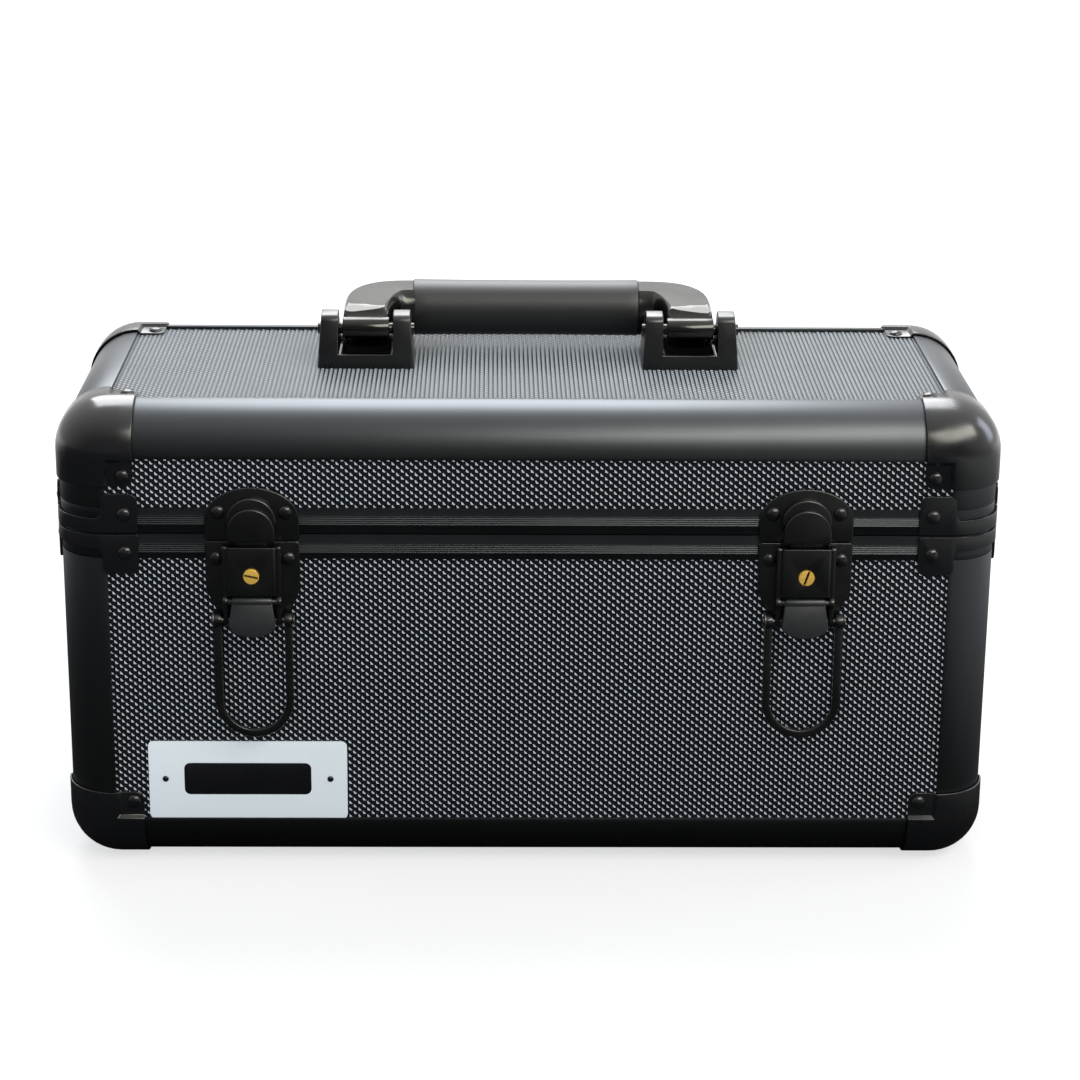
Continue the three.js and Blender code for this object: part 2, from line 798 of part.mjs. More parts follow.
function latchBase() {
  const foot = outline([
    [-latchBaseHalfWidth, latchBaseTop],
    [-latchBaseHalfWidth, latchBaseStraightBottom],
    [-latchBaseFootHalfWidth, latchBaseBottom],
    [latchBaseFootHalfWidth, latchBaseBottom],
    [latchBaseHalfWidth, latchBaseStraightBottom],
    [latchBaseHalfWidth, latchBaseTop],
  ]);
  const plate = frontPlate(foot, latchFace, latchPlateReach);
  const rooted = latchPlateReach - overrun;
  const housingZ = [housingBottom, housingTop];
  const box = block([-housingHalfWidth, housingHalfWidth], [-housingReach, -rooted], housingZ);
  const inside = housingHalfWidth - housingWall;
  const hollow = block(
    [-inside, inside],
    [housingWall - housingReach, -latchPlateReach],
    [housingBottom - overrun, housingTop + overrun],
  );
  const keyhole = rod(toFront, lockRadius + runningGap, [0, housingReach + overrun], roundSides)
    .translate(0, 0, lockZ)
    .intersect(block([-inside, inside], [-housingReach - overrun, -rooted - overrun], housingZ));
  const cheekOuter = housingHalfWidth + cheekThickness;
  const cheeks = [-1, 1].map((side) => {
    const across = between(side * (housingHalfWidth - overrun), side * cheekOuter);
    return block(across, [-cheekReach, -rooted], [cheekBottom, housingTop]);
  });
  const bosses = [-1, 1].map((side) => {
    const across = between(side * housingHalfWidth, side * cheekOuter);
    return rod(xAxis, leverHubRadius, across, roundSides).translate(0, -leverPivotReach, leverPivotZ);
  });
  const drilled = [-latchBaseHalfWidth, latchBaseHalfWidth];
  const pivotHole = rod(xAxis, leverStubRadius + runningGap, drilled, pinSides)
    .translate(0, -leverPivotReach, leverPivotZ);
  const pin = rod(xAxis, ringPinRadius, [-ringPinHalfLength, ringPinHalfLength], pinSides);
  const heads = [-1, 1].map((side) => {
    const across = between(side * (ringPinHalfLength - overrun), side * (ringPinHalfLength + overrun));
    return rod(xAxis, ringRivetRadius, across, pinSides);
  });
  const lowerPin = joined([pin, ...heads]).translate(0, -ringPinReach, ringPinZ);
  return joined([plate, box.subtract(hollow).subtract(keyhole), ...cheeks, ...bosses])
    .subtract(pivotHole)
    .add(joined([lowerPin, ...rivetPair(latchRivetX, latchRivetZ)]));
}

// The lever's own origin is its pivot, and its finger tab hangs below and leans out
function lever() {
  const hubHalf = housingHalfWidth - overrun - runningGap;
  const stubHalf = housingHalfWidth + cheekThickness;
  const tab = new THREE.Shape();
  const lobe = leverHalfWidth;
  tab.moveTo(-leverTopHalfWidth, 0);
  tab.lineTo(-leverHalfWidth, lobe - leverLength);
  tab.absellipse(0, lobe - leverLength, leverHalfWidth, lobe, Math.PI, 2 * Math.PI, false, 0);
  tab.lineTo(leverTopHalfWidth, 0);
  tab.closePath();
  const leaf = extruded(tab, leverThickness);
  leaf.rotateX(quarterTurn);
  leaf.translate(0, -leverSetOut, 0);
  leaf.rotateX(-leverTilt);
  const hub = rod(xAxis, leverHubRadius, [-leverTopHalfWidth, leverTopHalfWidth], roundSides);
  const stubs = rod(xAxis, leverStubRadius, [-stubHalf, stubHalf], pinSides);
  const shoulders = rod(xAxis, leverStubRadius + runningGap, [-hubHalf, hubHalf], pinSides);
  return joined([solidOf(leaf), hub, shoulders, stubs]);
}

// The hook link: an arm inside the housing, a step outwards above it, and the domed cap
function hook() {
  const capNear = bossReach + runningGap;
  const capFar = capNear + capThickness;
  const cap = frontPlate(domedShape(capHalfWidth, capBottom, capTop, capTop - capHalfWidth), capNear, capFar);
  const armFar = hookArmReach + hookArmThickness;
  const stepTop = capBottom + hookArmThickness;
  const across = [-hookArmHalfWidth, hookArmHalfWidth];
  const arm = block(across, [-armFar, -hookArmReach], [hookArmBottom, stepTop]);
  const step = block(across, [-capFar, -hookArmReach], [capBottom, stepTop]);
  return joined([cap, arm, step]);
}

// The lock plug's own origin is on its axis at the front plane
function lockPlug() {
  const plug = rod(toFront, lockRadius, [lockRearReach, lockHeadReach], roundSides);
  const slot = block(
    [-lockRadius, lockRadius],
    [-lockHeadReach - overrun, lockSlotDepth - lockHeadReach],
    [-lockSlotWidth / 2, lockSlotWidth / 2],
  );
  const cam = block(
    [-lockCamWidth / 2, lockCamWidth / 2],
    [-lockRearReach - lockCamThickness, -lockRearReach],
    [-lockCamLength, 0],
  );
  return joined([plug.subtract(slot), cam]);
}

// The ring's own origin is on the lower pin
function ring() {
  const outerBend = ringHalfWidth;
  const bendZ = outerBend - ringDrop;
  const innerHalf = ringHalfWidth - ringStrip;
  const loop = new THREE.Shape();
  loop.moveTo(-ringHalfWidth, 0);
  loop.lineTo(-ringHalfWidth, bendZ);
  loop.absarc(0, bendZ, outerBend, Math.PI, 2 * Math.PI, false);
  loop.lineTo(ringHalfWidth, 0);
  loop.lineTo(innerHalf, 0);
  loop.lineTo(innerHalf, bendZ);
  loop.absarc(0, bendZ, innerHalf, 2 * Math.PI, Math.PI, true);
  loop.lineTo(-innerHalf, 0);
  loop.closePath();
  const strip = frontPlate(loop, -ringThickness / 2, ringThickness / 2);
  const drilled = [-ringHalfWidth - overrun, ringHalfWidth + overrun];
  const hole = rod(xAxis, ringPinRadius + runningGap, drilled, pinSides);
  const eyes = [-ringHalfWidth, innerHalf].map((start) => (
    rod(xAxis, ringEyeRadius, [start, start + ringStrip], roundSides)
  ));
  return joined([strip, ...eyes]).subtract(hole);
}

const keeperSolid = keeper();
const latchBaseSolid = latchBase();
const leverSolid = lever();
const hookSolid = hook();
const lockSolid = lockPlug();
const ringSolid = ring();

for (const [name, side] of [['left', -1], ['right', 1]]) {
  const latch = new THREE.Group();
  latch.position.set(side * latchOffset, -halfDepth, splitPlane);
  tradingCardCase.add(latch);
  addPiece(latch, `${name}_latch_keeper`, keeperSolid, lacqueredSteel());
  addPiece(latch, `${name}_latch_base`, latchBaseSolid, lacqueredSteel());
  addPiece(latch, `${name}_latch_hook`, hookSolid, lacqueredSteel());
  addPiece(latch, `${name}_latch_lever`, leverSolid, lacqueredSteel())
    .position.set(0, -leverPivotReach, leverPivotZ);
  addPiece(latch, `${name}_latch_lock`, lockSolid, brass()).position.z = lockZ;
  addPiece(latch, `${name}_latch_ring`, ringSolid, lacqueredSteel())
    .position.set(0, -ringPinReach, ringPinZ);
}

// Back hinge: local origin on the pin, at the split, behind the case's back plane

const hingeGroup = new THREE.Group();
const hingePinOffset = hingeRimGap + hingeKnuckleRadius;
hingeGroup.position.set(0, halfDepth + hingePinOffset, splitPlane);
tradingCardCase.add(hingeGroup);

const knucklePitch = hingeLength / hingeKnuckles;
const knuckleHalf = (knucklePitch - hingeKnuckleGap) / 2;

// One leaf: side is 1 for the lid's, above the pin, and -1 for the base's, below it
function hingeLeaf(side, knuckles) {
  const near = -hingeKnuckleRadius;
  const far = hingeLeafThickness - hingeKnuckleRadius;
  const stand = side * (hingeKnuckleRadius + hingeKnuckleGap);
  const tip = side * hingeLeafHeight;
  const half = hingeLength / 2;
  const pieces = [block([-half, half], [near, far], between(stand, tip))];
  for (const index of knuckles) {
    const centre = (index - (hingeKnuckles - 1) / 2) * knucklePitch;
    const span = [centre - knuckleHalf, centre + knuckleHalf];
    const root = block(span, [near, far], between(0, stand + side * overrun));
    pieces.push(root, rod(xAxis, hingeKnuckleRadius, span, roundSides));
  }
  return joined(pieces);
}

const lidKnuckles = [1, 3, 5];
const baseKnuckles = [0, 2, 4, 6];
const hingeSpan = [-hingeLength / 2, hingeLength / 2];
const hingeBore = rod(xAxis, hingeBoreRadius, hingeSpan, pinSides);
const hingePin = rod(xAxis, hingePinRadius, hingeSpan, pinSides);
const lidLeaf = hingeLeaf(1, lidKnuckles).subtract(hingeBore);
const baseLeaf = hingeLeaf(-1, baseKnuckles).add(hingePin);
addPiece(hingeGroup, 'hinge_lid_leaf', lidLeaf, anodisedBlack());
addPiece(hingeGroup, 'hinge_base_leaf', baseLeaf, anodisedBlack());

// The origin lies under the middle of the whole outline, on the ground
tradingCardCase.updateMatrixWorld(true);
const extent = new THREE.Box3().setFromObject(tradingCardCase, true);
tradingCardCase.position.y = -(extent.min.y + extent.max.y) / 2;

export default tradingCardCase;
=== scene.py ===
# %% [markdown]
# # A trading card case, dressed for its picture
# The real case is a light box of laminated board. Rolled metal edges grip the boards, pressed steel
# ball corners close the ends of the edges, and two ribbed rims meet where the lid opens. On the front
# hang two keyed draw latches, on top folds a handle, and the foam inside is cut for four columns of card
# slabs.
#
# The measured solids come from the frame. This lesson gives them the look of the real thing: each
# visible piece is modelled again with its small radii, ribs and raised points, at the place of its solid.

import json
import math

import bmesh
import bpy
from mathutils import Matrix, Vector

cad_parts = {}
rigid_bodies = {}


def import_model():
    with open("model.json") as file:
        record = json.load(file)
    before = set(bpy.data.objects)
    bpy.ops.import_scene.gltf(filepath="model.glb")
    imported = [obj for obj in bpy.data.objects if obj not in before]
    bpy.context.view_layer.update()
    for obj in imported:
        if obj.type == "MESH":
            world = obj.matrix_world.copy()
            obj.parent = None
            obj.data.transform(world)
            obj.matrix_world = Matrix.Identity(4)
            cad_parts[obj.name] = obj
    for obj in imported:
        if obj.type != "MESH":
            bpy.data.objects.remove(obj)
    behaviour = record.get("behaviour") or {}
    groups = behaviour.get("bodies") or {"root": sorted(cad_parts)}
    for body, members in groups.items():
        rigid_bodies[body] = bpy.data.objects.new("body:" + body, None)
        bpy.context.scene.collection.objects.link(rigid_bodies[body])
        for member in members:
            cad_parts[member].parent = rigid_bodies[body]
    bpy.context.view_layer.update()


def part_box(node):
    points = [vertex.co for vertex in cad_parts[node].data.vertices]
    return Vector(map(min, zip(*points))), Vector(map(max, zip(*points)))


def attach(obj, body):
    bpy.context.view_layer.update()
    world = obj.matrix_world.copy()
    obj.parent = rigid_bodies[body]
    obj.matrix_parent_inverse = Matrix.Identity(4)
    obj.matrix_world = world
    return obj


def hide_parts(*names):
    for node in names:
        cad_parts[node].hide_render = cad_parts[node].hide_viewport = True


for starter in list(bpy.data.objects):
    bpy.data.objects.remove(starter)
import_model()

# %% [markdown]
# ## Sizes
# A maker works in millimetres, and Blender works in metres, so one constant turns one into the other.
# The main planes of the case are read from the solids, so that nothing here has to be measured twice.

# %% The main planes of the case, in millimetres
MM = 0.001
NEAR = 0.02       # places closer than this are the same place
MERGE = 0.002     # vertices closer than this become one
FLAT = 0.9995     # a normal this close to an axis belongs to a face square to it
FACING = 0.9      # and this close, to a face that looks that way


def node_box(node):
    """Lowest and highest corner of a solid, in millimetres."""
    low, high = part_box(node)
    return low / MM, high / MM


FRONT = node_box("base_front_edge")[0].y
BACK = node_box("base_back_edge")[1].y
LEFT = node_box("base_left_edge")[0].x
RIGHT = node_box("base_right_edge")[1].x
BOTTOM = node_box("base_front_edge")[0].z
TOP = node_box("lid_front_edge")[1].z
RIM_GAP = 0.4
SPLIT = node_box("lid_rim")[0].z - RIM_GAP / 2
MIDDLE = Vector(((LEFT + RIGHT) / 2, (FRONT + BACK) / 2, (BOTTOM + TOP) / 2))
EDGE_RADIUS = 19.2
PLATE_PROUD = 1.15
PLATE_RADIUS = EDGE_RADIUS + PLATE_PROUD
AT_LEFT, AT_FRONT, AT_FLOOR = ((plane, plane + EDGE_RADIUS) for plane in (LEFT, FRONT, BOTTOM))
print("front", round(FRONT, 2), "split", round(SPLIT, 2), "top", round(TOP, 2), "middle", MIDDLE)

# %% [markdown]
# ## Working by hand
# Every piece starts as a primitive at its size and place. These helpers are the few moves that each
# piece needs: start a block, a sheet or a rod, pick faces or edges by where they lie, and finish it.
# Nothing is ever selected by its number, because numbers change as soon as a mesh is cut.

# %% Starting a piece
def clear_selection():
    if bpy.context.object and bpy.context.object.mode != "OBJECT":
        bpy.ops.object.mode_set(mode="OBJECT")
    bpy.ops.object.select_all(action="DESELECT")


def select_only(piece):
    clear_selection()
    piece.select_set(True)
    bpy.context.view_layer.objects.active = piece


def settle(name):
    """Names the new primitive and moves its place and size into its mesh."""
    piece = bpy.context.object
    piece.name = name
    piece.data.name = name
    bpy.ops.object.transform_apply(location=True, rotation=True, scale=True)
    return piece


def start_block(name, xs, ys, zs):
    """A block that fills three ranges."""
    clear_selection()
    middle = [(a + b) / 2 * MM for a, b in (xs, ys, zs)]
    size = [abs(b - a) * MM for a, b in (xs, ys, zs)]
    bpy.ops.mesh.primitive_cube_add(size=1, location=middle, scale=size)
    return settle(name)


def start_sheet(name, middle, size, turn=(0, 0, 0)):
    """A flat sheet. The plane primitive ignores its own scale, so the object is scaled first."""
    clear_selection()
    bpy.ops.mesh.primitive_plane_add(size=1, location=[v * MM for v in middle], rotation=turn)
    bpy.context.object.scale = (size[0] * MM, size[1] * MM, 1)
    return settle(name)


TURNS = {"X": (0, math.pi / 2, 0), "Y": (math.pi / 2, 0, 0), "Z": (0, 0, 0)}
AXES = {"X": (1, 0, 0), "Y": (0, 1, 0), "Z": (0, 0, 1)}


def start_rod(name, axis, radius, span, centre, sides=24):
    """A round bar along an axis; centre gives its place across, span its two ends along."""
    clear_selection()
    place = list(centre)
    place["XYZ".index(axis)] = (span[0] + span[1]) / 2
    bpy.ops.mesh.primitive_cylinder_add(
        vertices=sides, radius=radius * MM, depth=abs(span[1] - span[0]) * MM,
        location=[v * MM for v in place], rotation=TURNS[axis])
    return settle(name)


# %% Picking parts of a mesh by their place
def pick(piece, kind, test):
    """Selects the parts of one kind whose middle, extent in mm and own data pass a test; counts them."""
    bpy.context.view_layer.objects.active = piece
    bpy.ops.object.mode_set(mode="EDIT")
    bpy.ops.mesh.select_mode(type=kind)
    bpy.ops.mesh.select_all(action="DESELECT")
    mesh = bmesh.from_edit_mesh(piece.data)
    parts = {"VERT": mesh.verts, "EDGE": mesh.edges, "FACE": mesh.faces}[kind]
    count = 0
    for part in parts:
        corners = [part.co] if kind == "VERT" else [v.co for v in part.verts]
        low = Vector([min(c[i] for c in corners) for i in range(3)]) / MM
        high = Vector([max(c[i] for c in corners) for i in range(3)]) / MM
        if test((low + high) / 2, high - low, part):
            part.select_set(True)
            count += 1
    mesh.select_flush_mode()
    bmesh.update_edit_mesh(piece.data)
    return count


def pick_all(piece):
    pick(piece, "FACE", lambda m, s, p: True)


def near(a, b):
    return abs(a - b) < NEAR


# %% Moves on the picked parts
def bevel_picked(width, segments, kind="EDGES"):
    bpy.ops.mesh.bevel(offset=width * MM, segments=segments, affect=kind, clamp_overlap=False)


def extrude_picked(x=0, y=0, z=0):
    bpy.ops.mesh.extrude_region_move(TRANSFORM_OT_translate={"value": (x * MM, y * MM, z * MM)})


def cut_across(piece, axis, place):
    """Cuts a whole piece by the plane that crosses an axis at this place."""
    pick_all(piece)
    bpy.ops.mesh.bisect(plane_co=[v * place * MM for v in AXES[axis]], plane_no=AXES[axis])


def merge_doubles(piece, distance=MERGE):
    pick_all(piece)
    bpy.ops.mesh.remove_doubles(threshold=distance * MM)


def round_corners(piece, axis, radius, test, segments=4):
    """Rounds the corner edges that run along an axis and pass a test of their middle."""
    pick(piece, "EDGE", lambda m, s, p: s[axis] > NEAR and sum(v < NEAR for v in s) == 2 and test(m))
    bevel_picked(radius, segments)
    clear_selection()


# %% Modifiers, joining and finishing
def modify(piece, kind, **settings):
    """Adds a modifier and applies it."""
    select_only(piece)
    modifier = piece.modifiers.new(kind.title(), kind)
    for key, value in settings.items():
        setattr(modifier, key, value)
    bpy.ops.object.modifier_apply(modifier=modifier.name)


def soften(piece, width, segments=2, angle=50):
    """Small rounding on every crisp edge, as tumbling and paint leave it."""
    modify(piece, "BEVEL", width=width * MM, segments=segments, limit_method="ANGLE",
           angle_limit=math.radians(angle), harden_normals=False)
    return piece


def thicken(piece, wall, even=True):
    """Gives a skin its wall, on the inner side."""
    modify(piece, "SOLIDIFY", thickness=wall * MM, offset=-1, use_even_offset=even)


def take_away(piece, tool):
    """Cuts a piece with another one, which is then thrown away."""
    modify(piece, "BOOLEAN", object=tool, operation="DIFFERENCE", solver="EXACT")
    bpy.data.objects.remove(tool)


def face_outwards(piece, inside_point=None):
    """Merges doubles and turns faces outwards; an open sheet is turned away from a point inside."""
    merge_doubles(piece)
    bpy.ops.mesh.normals_make_consistent(inside=False)
    if inside_point is not None:
        mesh = bmesh.from_edit_mesh(piece.data)
        if sum((face.calc_center_median() - inside_point * MM).dot(face.normal) * face.calc_area()
               for face in mesh.faces) < 0:
            bpy.ops.mesh.flip_normals()
    clear_selection()


def join(piece, others):
    """Makes one object of a piece and others; the first keeps its name."""
    select_only(piece)
    for other in others:
        other.select_set(True)
    bpy.ops.object.join()
    return piece


def copy_piece(piece, name, matrix):
    """A copy with its own mesh, moved, turned or mirrored."""
    twin = piece.copy()
    twin.data = piece.data.copy()
    twin.name = name
    twin.data.name = name
    bpy.context.scene.collection.objects.link(twin)
    twin.data.transform(matrix)
    if matrix.determinant() < 0:
        twin.data.flip_normals()
    return twin


def mirror_across(axis, plane):
    """The matrix that mirrors a mesh across a plane of the case, given in mm."""
    turned = Matrix.Identity(4)
    turned[axis][axis] = -1
    turned[axis][3] = 2 * plane * MM
    return turned


def turn_about(point, angle, axis):
    """The matrix that turns a mesh about an axis through a point, given in mm."""
    return (Matrix.Translation(point * MM) @ Matrix.Rotation(angle, 4, axis)
            @ Matrix.Translation(-point * MM))


def dress(piece, body, finish, nodes=(), angle=30):
    """Smooth shading up to an angle, the finish, the body it rides on and the solids it stands for."""
    select_only(piece)
    bpy.ops.object.shade_smooth_by_angle(angle=math.radians(angle))
    if finish is not None:
        piece.data.materials.clear()
        piece.data.materials.append(finish)
    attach(piece, body)
    if nodes:
        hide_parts(*nodes)
    print(f"{piece.name}: {len(piece.data.polygons)} faces on {body}")
    return piece


# %% [markdown]
# ## Finishes
# Each finish is a Principled BSDF with a few nodes in front of it. Colours are written as on screen and
# turned linear by one function. Patterns read Object coordinates, which are metres here, so a noise scale
# is one over the size of a detail: 1 / (0.4 mm) gives details of 0.4 mm on every piece alike.

# %% Colour and node helpers
def colour(hexadecimal):
    """An sRGB hex value as linear RGBA."""
    channels = [int(hexadecimal[i:i + 2], 16) / 255 for i in (1, 3, 5)]
    return [c / 12.92 if c <= 0.04045 else ((c + 0.055) / 1.055) ** 2.4 for c in channels] + [1.0]


def fill_inputs(node, inputs):
    """Sets a node's inputs, and links those whose value is another node's output."""
    for key, value in inputs.items():
        if isinstance(value, bpy.types.NodeSocket):
            node.id_data.links.new(value, node.inputs[key])
        else:
            node.inputs[key].default_value = value


def add_node(tree, kind, settings=None, inputs=None):
    """Adds a node, sets its properties, and fills or links its inputs."""
    node = tree.nodes.new(kind)
    for key, value in (settings or {}).items():
        setattr(node, key, value)
    fill_inputs(node, inputs or {})
    return node


def start_finish(name, settings):
    """A new material with constants on its shader's own sockets, and the place that patterns read."""
    material = bpy.data.materials.new(name)
    material.use_nodes = True
    tree = material.node_tree
    shader = tree.nodes["Principled BSDF"]
    fill_inputs(shader, settings)
    return material, tree, shader, add_node(tree, "ShaderNodeTexCoord").outputs["Object"]


def per_mm(size):
    """The noise scale that gives details of this size."""
    return 1 / (size * MM)


MIX_FACTOR, MIX_A, MIX_B, MIX_RESULT = 0, 6, 7, 2


def tone_and_relief(tree, shader, tone_by, dark, pale, relief_by, strength, depth_mm):
    """Mixes two tones by one pattern, takes fine relief from another, and gives both to the shader."""
    tone = add_node(tree, "ShaderNodeMix", {"data_type": "RGBA"}, {
        MIX_FACTOR: tone_by, MIX_A: colour(dark), MIX_B: colour(pale)}).outputs[MIX_RESULT]
    relief = add_node(tree, "ShaderNodeBump", inputs={
        "Height": relief_by, "Strength": strength, "Distance": depth_mm * MM}).outputs[0]
    fill_inputs(shader, {"Base Color": tone, "Normal": relief})


# %% [markdown]
# ### Anodised aluminium
# The edges are extruded aluminium, etched and dyed black in an anodising bath. The etch leaves a satin
# surface, and the die leaves faint lines along the bar. So the noise is stretched along the bar: details
# are 0.25 mm across and 60 mm long. To the eye this gives long soft highlights that break up a little.

# %% Anodised aluminium, one finish for each direction of the bar
DIE_LINE_WIDTH, DIE_LINE_LENGTH = 0.25, 60


def anodised(name, along, dark, pale, roughness):
    material, tree, shader, place = start_finish(name, {"Metallic": 1.0, "Roughness": roughness})
    scale = [per_mm(DIE_LINE_WIDTH)] * 3
    scale["XYZ".index(along)] = per_mm(DIE_LINE_LENGTH)
    stretched = add_node(tree, "ShaderNodeMapping", inputs={"Vector": place, "Scale": scale})
    lines = add_node(tree, "ShaderNodeTexNoise", inputs={
        "Vector": stretched.outputs[0], "Scale": 1.0, "Detail": 3.0}).outputs["Fac"]
    cloud = add_node(tree, "ShaderNodeTexNoise", inputs={
        "Vector": place, "Scale": per_mm(35), "Detail": 2.0}).outputs["Fac"]
    rough = add_node(tree, "ShaderNodeMapRange", inputs={
        "Value": lines, "To Min": roughness - 0.05, "To Max": roughness + 0.07}).outputs[0]
    fill_inputs(shader, {"Roughness": rough})
    tone_and_relief(tree, shader, cloud, dark, pale, lines, 0.25, 0.02)
    return material


EDGE_FINISH = {axis: anodised(f"anodised_extrusion_along_{axis.lower()}", axis, "#5c5f62", "#66696d", 0.39)
               for axis in "XYZ"}
print("anodised finishes:", [m.name for m in EDGE_FINISH.values()])

# %% [markdown]
# ### Black lacquer on pressed steel
# Corners, rim plates, latches and handle brackets are pressed or cast parts, dipped in black stoving
# lacquer. The lacquer is a hard gloss with a fine orange peel, about 1 mm from hump to hump, and handling
# leaves dull clouds and a few tiny pale scuffs. Noises make the peel and the clouds. The IOR of 1.9 lets
# it mirror a tenth of the light, so a lamp shows as a crisp pale patch on a part that stays black.

# %% Black lacquer
SCUFF = "#5c5f64"


def lacquer(name, tone, roughness):
    material, tree, shader, place = start_finish(name, {
        "Metallic": 0.0, "Roughness": roughness, "IOR": 1.9})
    peel = add_node(tree, "ShaderNodeTexNoise", inputs={
        "Vector": place, "Scale": per_mm(1.1), "Detail": 1.0}).outputs["Fac"]
    cloud = add_node(tree, "ShaderNodeTexNoise", inputs={
        "Vector": place, "Scale": per_mm(14), "Detail": 4.0}).outputs["Fac"]
    speck = add_node(tree, "ShaderNodeTexNoise", inputs={
        "Vector": place, "Scale": per_mm(2.6), "Detail": 5.0, "Roughness": 0.7}).outputs["Fac"]
    worn = add_node(tree, "ShaderNodeMapRange", inputs={
        "Value": speck, "From Min": 0.735, "From Max": 0.78}).outputs[0]
    rough = add_node(tree, "ShaderNodeMapRange", inputs={
        "Value": cloud, "From Min": 0.35, "From Max": 0.7,
        "To Min": roughness - 0.03, "To Max": roughness + 0.1}).outputs[0]
    fill_inputs(shader, {"Roughness": rough})
    tone_and_relief(tree, shader, worn, tone, SCUFF, peel, 0.2, 0.02)
    return material


CORNER_FINISH = lacquer("black_stoving_lacquer", "#0b0c0e", 0.2)
LATCH_FINISH = lacquer("black_lacquer_on_latches", "#060708", 0.27)
LEVER_FINISH = lacquer("satin_lacquer_on_levers", "#14181a", 0.36)
print("lacquers:", CORNER_FINISH.name, LATCH_FINISH.name, LEVER_FINISH.name)

# %% [markdown]
# ### Embossed laminate
# The boards carry a black ABS laminate embossed with raised points. The ground stays black and half
# gloss. The glossy tips catch the light; that highlight is painted, as a pale grey colour on the tips.
# The points themselves are real geometry further down, and here they only get two finishes: one for
# ground and side flanks, one for the tips and the flank below them, painted highlight in pale grey.

# %% Embossed laminate, ground and tips
def satin_coat(name, dark, pale, roughness, gloss):
    """Laminate or paint: large soft clouds in its tone, and fine moulded grain."""
    material, tree, shader, place = start_finish(name, {
        "Roughness": roughness, "Specular IOR Level": gloss})
    cloud = add_node(tree, "ShaderNodeTexNoise", inputs={
        "Vector": place, "Scale": per_mm(30), "Detail": 5.0, "Roughness": 0.6}).outputs["Fac"]
    grain = add_node(tree, "ShaderNodeTexNoise", inputs={
        "Vector": place, "Scale": per_mm(0.5), "Detail": 2.0}).outputs["Fac"]
    tone_and_relief(tree, shader, cloud, dark, pale, grain, 0.15, 0.02)
    return material


GROUND_FINISH = satin_coat("embossed_abs_ground", "#0c0e11", "#131519", 0.4, 0.5)
# Painted highlight: pale grey on the tips and lower flanks stands in for light caught by the glossy mounds.
TIP_HIGHLIGHT_FINISH = satin_coat("embossed_abs_tips_painted_highlight", "#a6acb2", "#b8bec3", 0.42, 0.5)
print("laminate:", GROUND_FINISH.name, TIP_HIGHLIGHT_FINISH.name)

# %% [markdown]
# ### Plated castings, brass, zinc, rubber, foam and the name plate
# The handle's arms are zinc castings under polished black nickel, which mirrors the room in warm grey. The
# rims are fine-ribbed aluminium, anodised and plain, because their ribs already break up the light. The
# lock plugs are brass that handling has dulled: less than fully metallic, they stay golden where the room
# in front is dark. Ring pins are dull zinc-plated steel. The grip is a moulded sleeve of soft black PVC
# with a broad sheen. The foam is closed-cell, with pores of about half a millimetre. The name plate is
# thin sheet aluminium under pale satin paint.

# %% The remaining finishes
def metal(name, dark, pale, roughness, grain_mm, relief_mm, metallic=1.0):
    """A plain metal with grain in its tone and gloss; a dulled one is less than fully metallic."""
    material, tree, shader, place = start_finish(name, {"Metallic": metallic, "Roughness": roughness})
    grain = add_node(tree, "ShaderNodeTexNoise", inputs={
        "Vector": place, "Scale": per_mm(grain_mm), "Detail": 3.0}).outputs["Fac"]
    rough = add_node(tree, "ShaderNodeMapRange", inputs={
        "Value": grain, "To Min": roughness * 0.8, "To Max": roughness * 1.25}).outputs[0]
    fill_inputs(shader, {"Roughness": rough})
    tone_and_relief(tree, shader, grain, dark, pale, grain, 0.2, relief_mm)
    return material


def soft_stuff(name, dark, pale, roughness, pore_mm, depth_mm, settings):
    """Rubber or foam: rough, with pores or moulded grain in its relief."""
    material, tree, shader, place = start_finish(name, {"Roughness": roughness, **settings})
    pores = add_node(tree, "ShaderNodeTexVoronoi", inputs={
        "Vector": place, "Scale": per_mm(pore_mm)}).outputs[0]
    cloud = add_node(tree, "ShaderNodeTexNoise", inputs={
        "Vector": place, "Scale": per_mm(12), "Detail": 4.0}).outputs["Fac"]
    tone_and_relief(tree, shader, cloud, dark, pale, pores, 0.4, depth_mm)
    return material


RIM_FINISH = metal("anodised_ribbed_rim", "#55595d", "#5e6266", 0.34, 25, 0.002)
ARM_FINISH = metal("polished_black_nickel", "#525250", "#5b5b58", 0.18, 18, 0.003)
BRASS_FINISH = metal("turned_brass", "#dca83c", "#f0c868", 0.34, 0.6, 0.01, 0.45)
ZINC_FINISH = metal("dull_zinc_plated_steel", "#77756f", "#97948d", 0.38, 0.8, 0.01)
GRIP_FINISH = soft_stuff("moulded_black_pvc", "#08090b", "#0e0f12", 0.5, 0.35, 0.01, {"IOR": 1.9})
FOAM_FINISH = soft_stuff("closed_cell_foam", "#101113", "#1c1d20", 0.92, 0.55, 0.12,
                         {"Specular IOR Level": 0.2})
PLATE_FINISH = satin_coat("pale_satin_paint", "#c6ced1", "#d2d9db", 0.42, 0.4)
print("plain finishes:", len(bpy.data.materials), "materials so far")

# %% [markdown]
# ## The rolled edges
# A quarter-round extrusion runs along each edge of the box. It could be swept as a curve, but a block is
# closer to how one thinks of it: bevel one long edge of the block with the full 19.2 mm radius, throw the
# flat faces away, and give the curved skin its wall of 1.5 mm, whose lip lies over the edge of the board.

# %% One extrusion from a block
EDGE_WALL = 1.5
ARC_SEGMENTS = 20
ALMOST = 0.01     # a full radius stops this short, so that its two ends don't meet


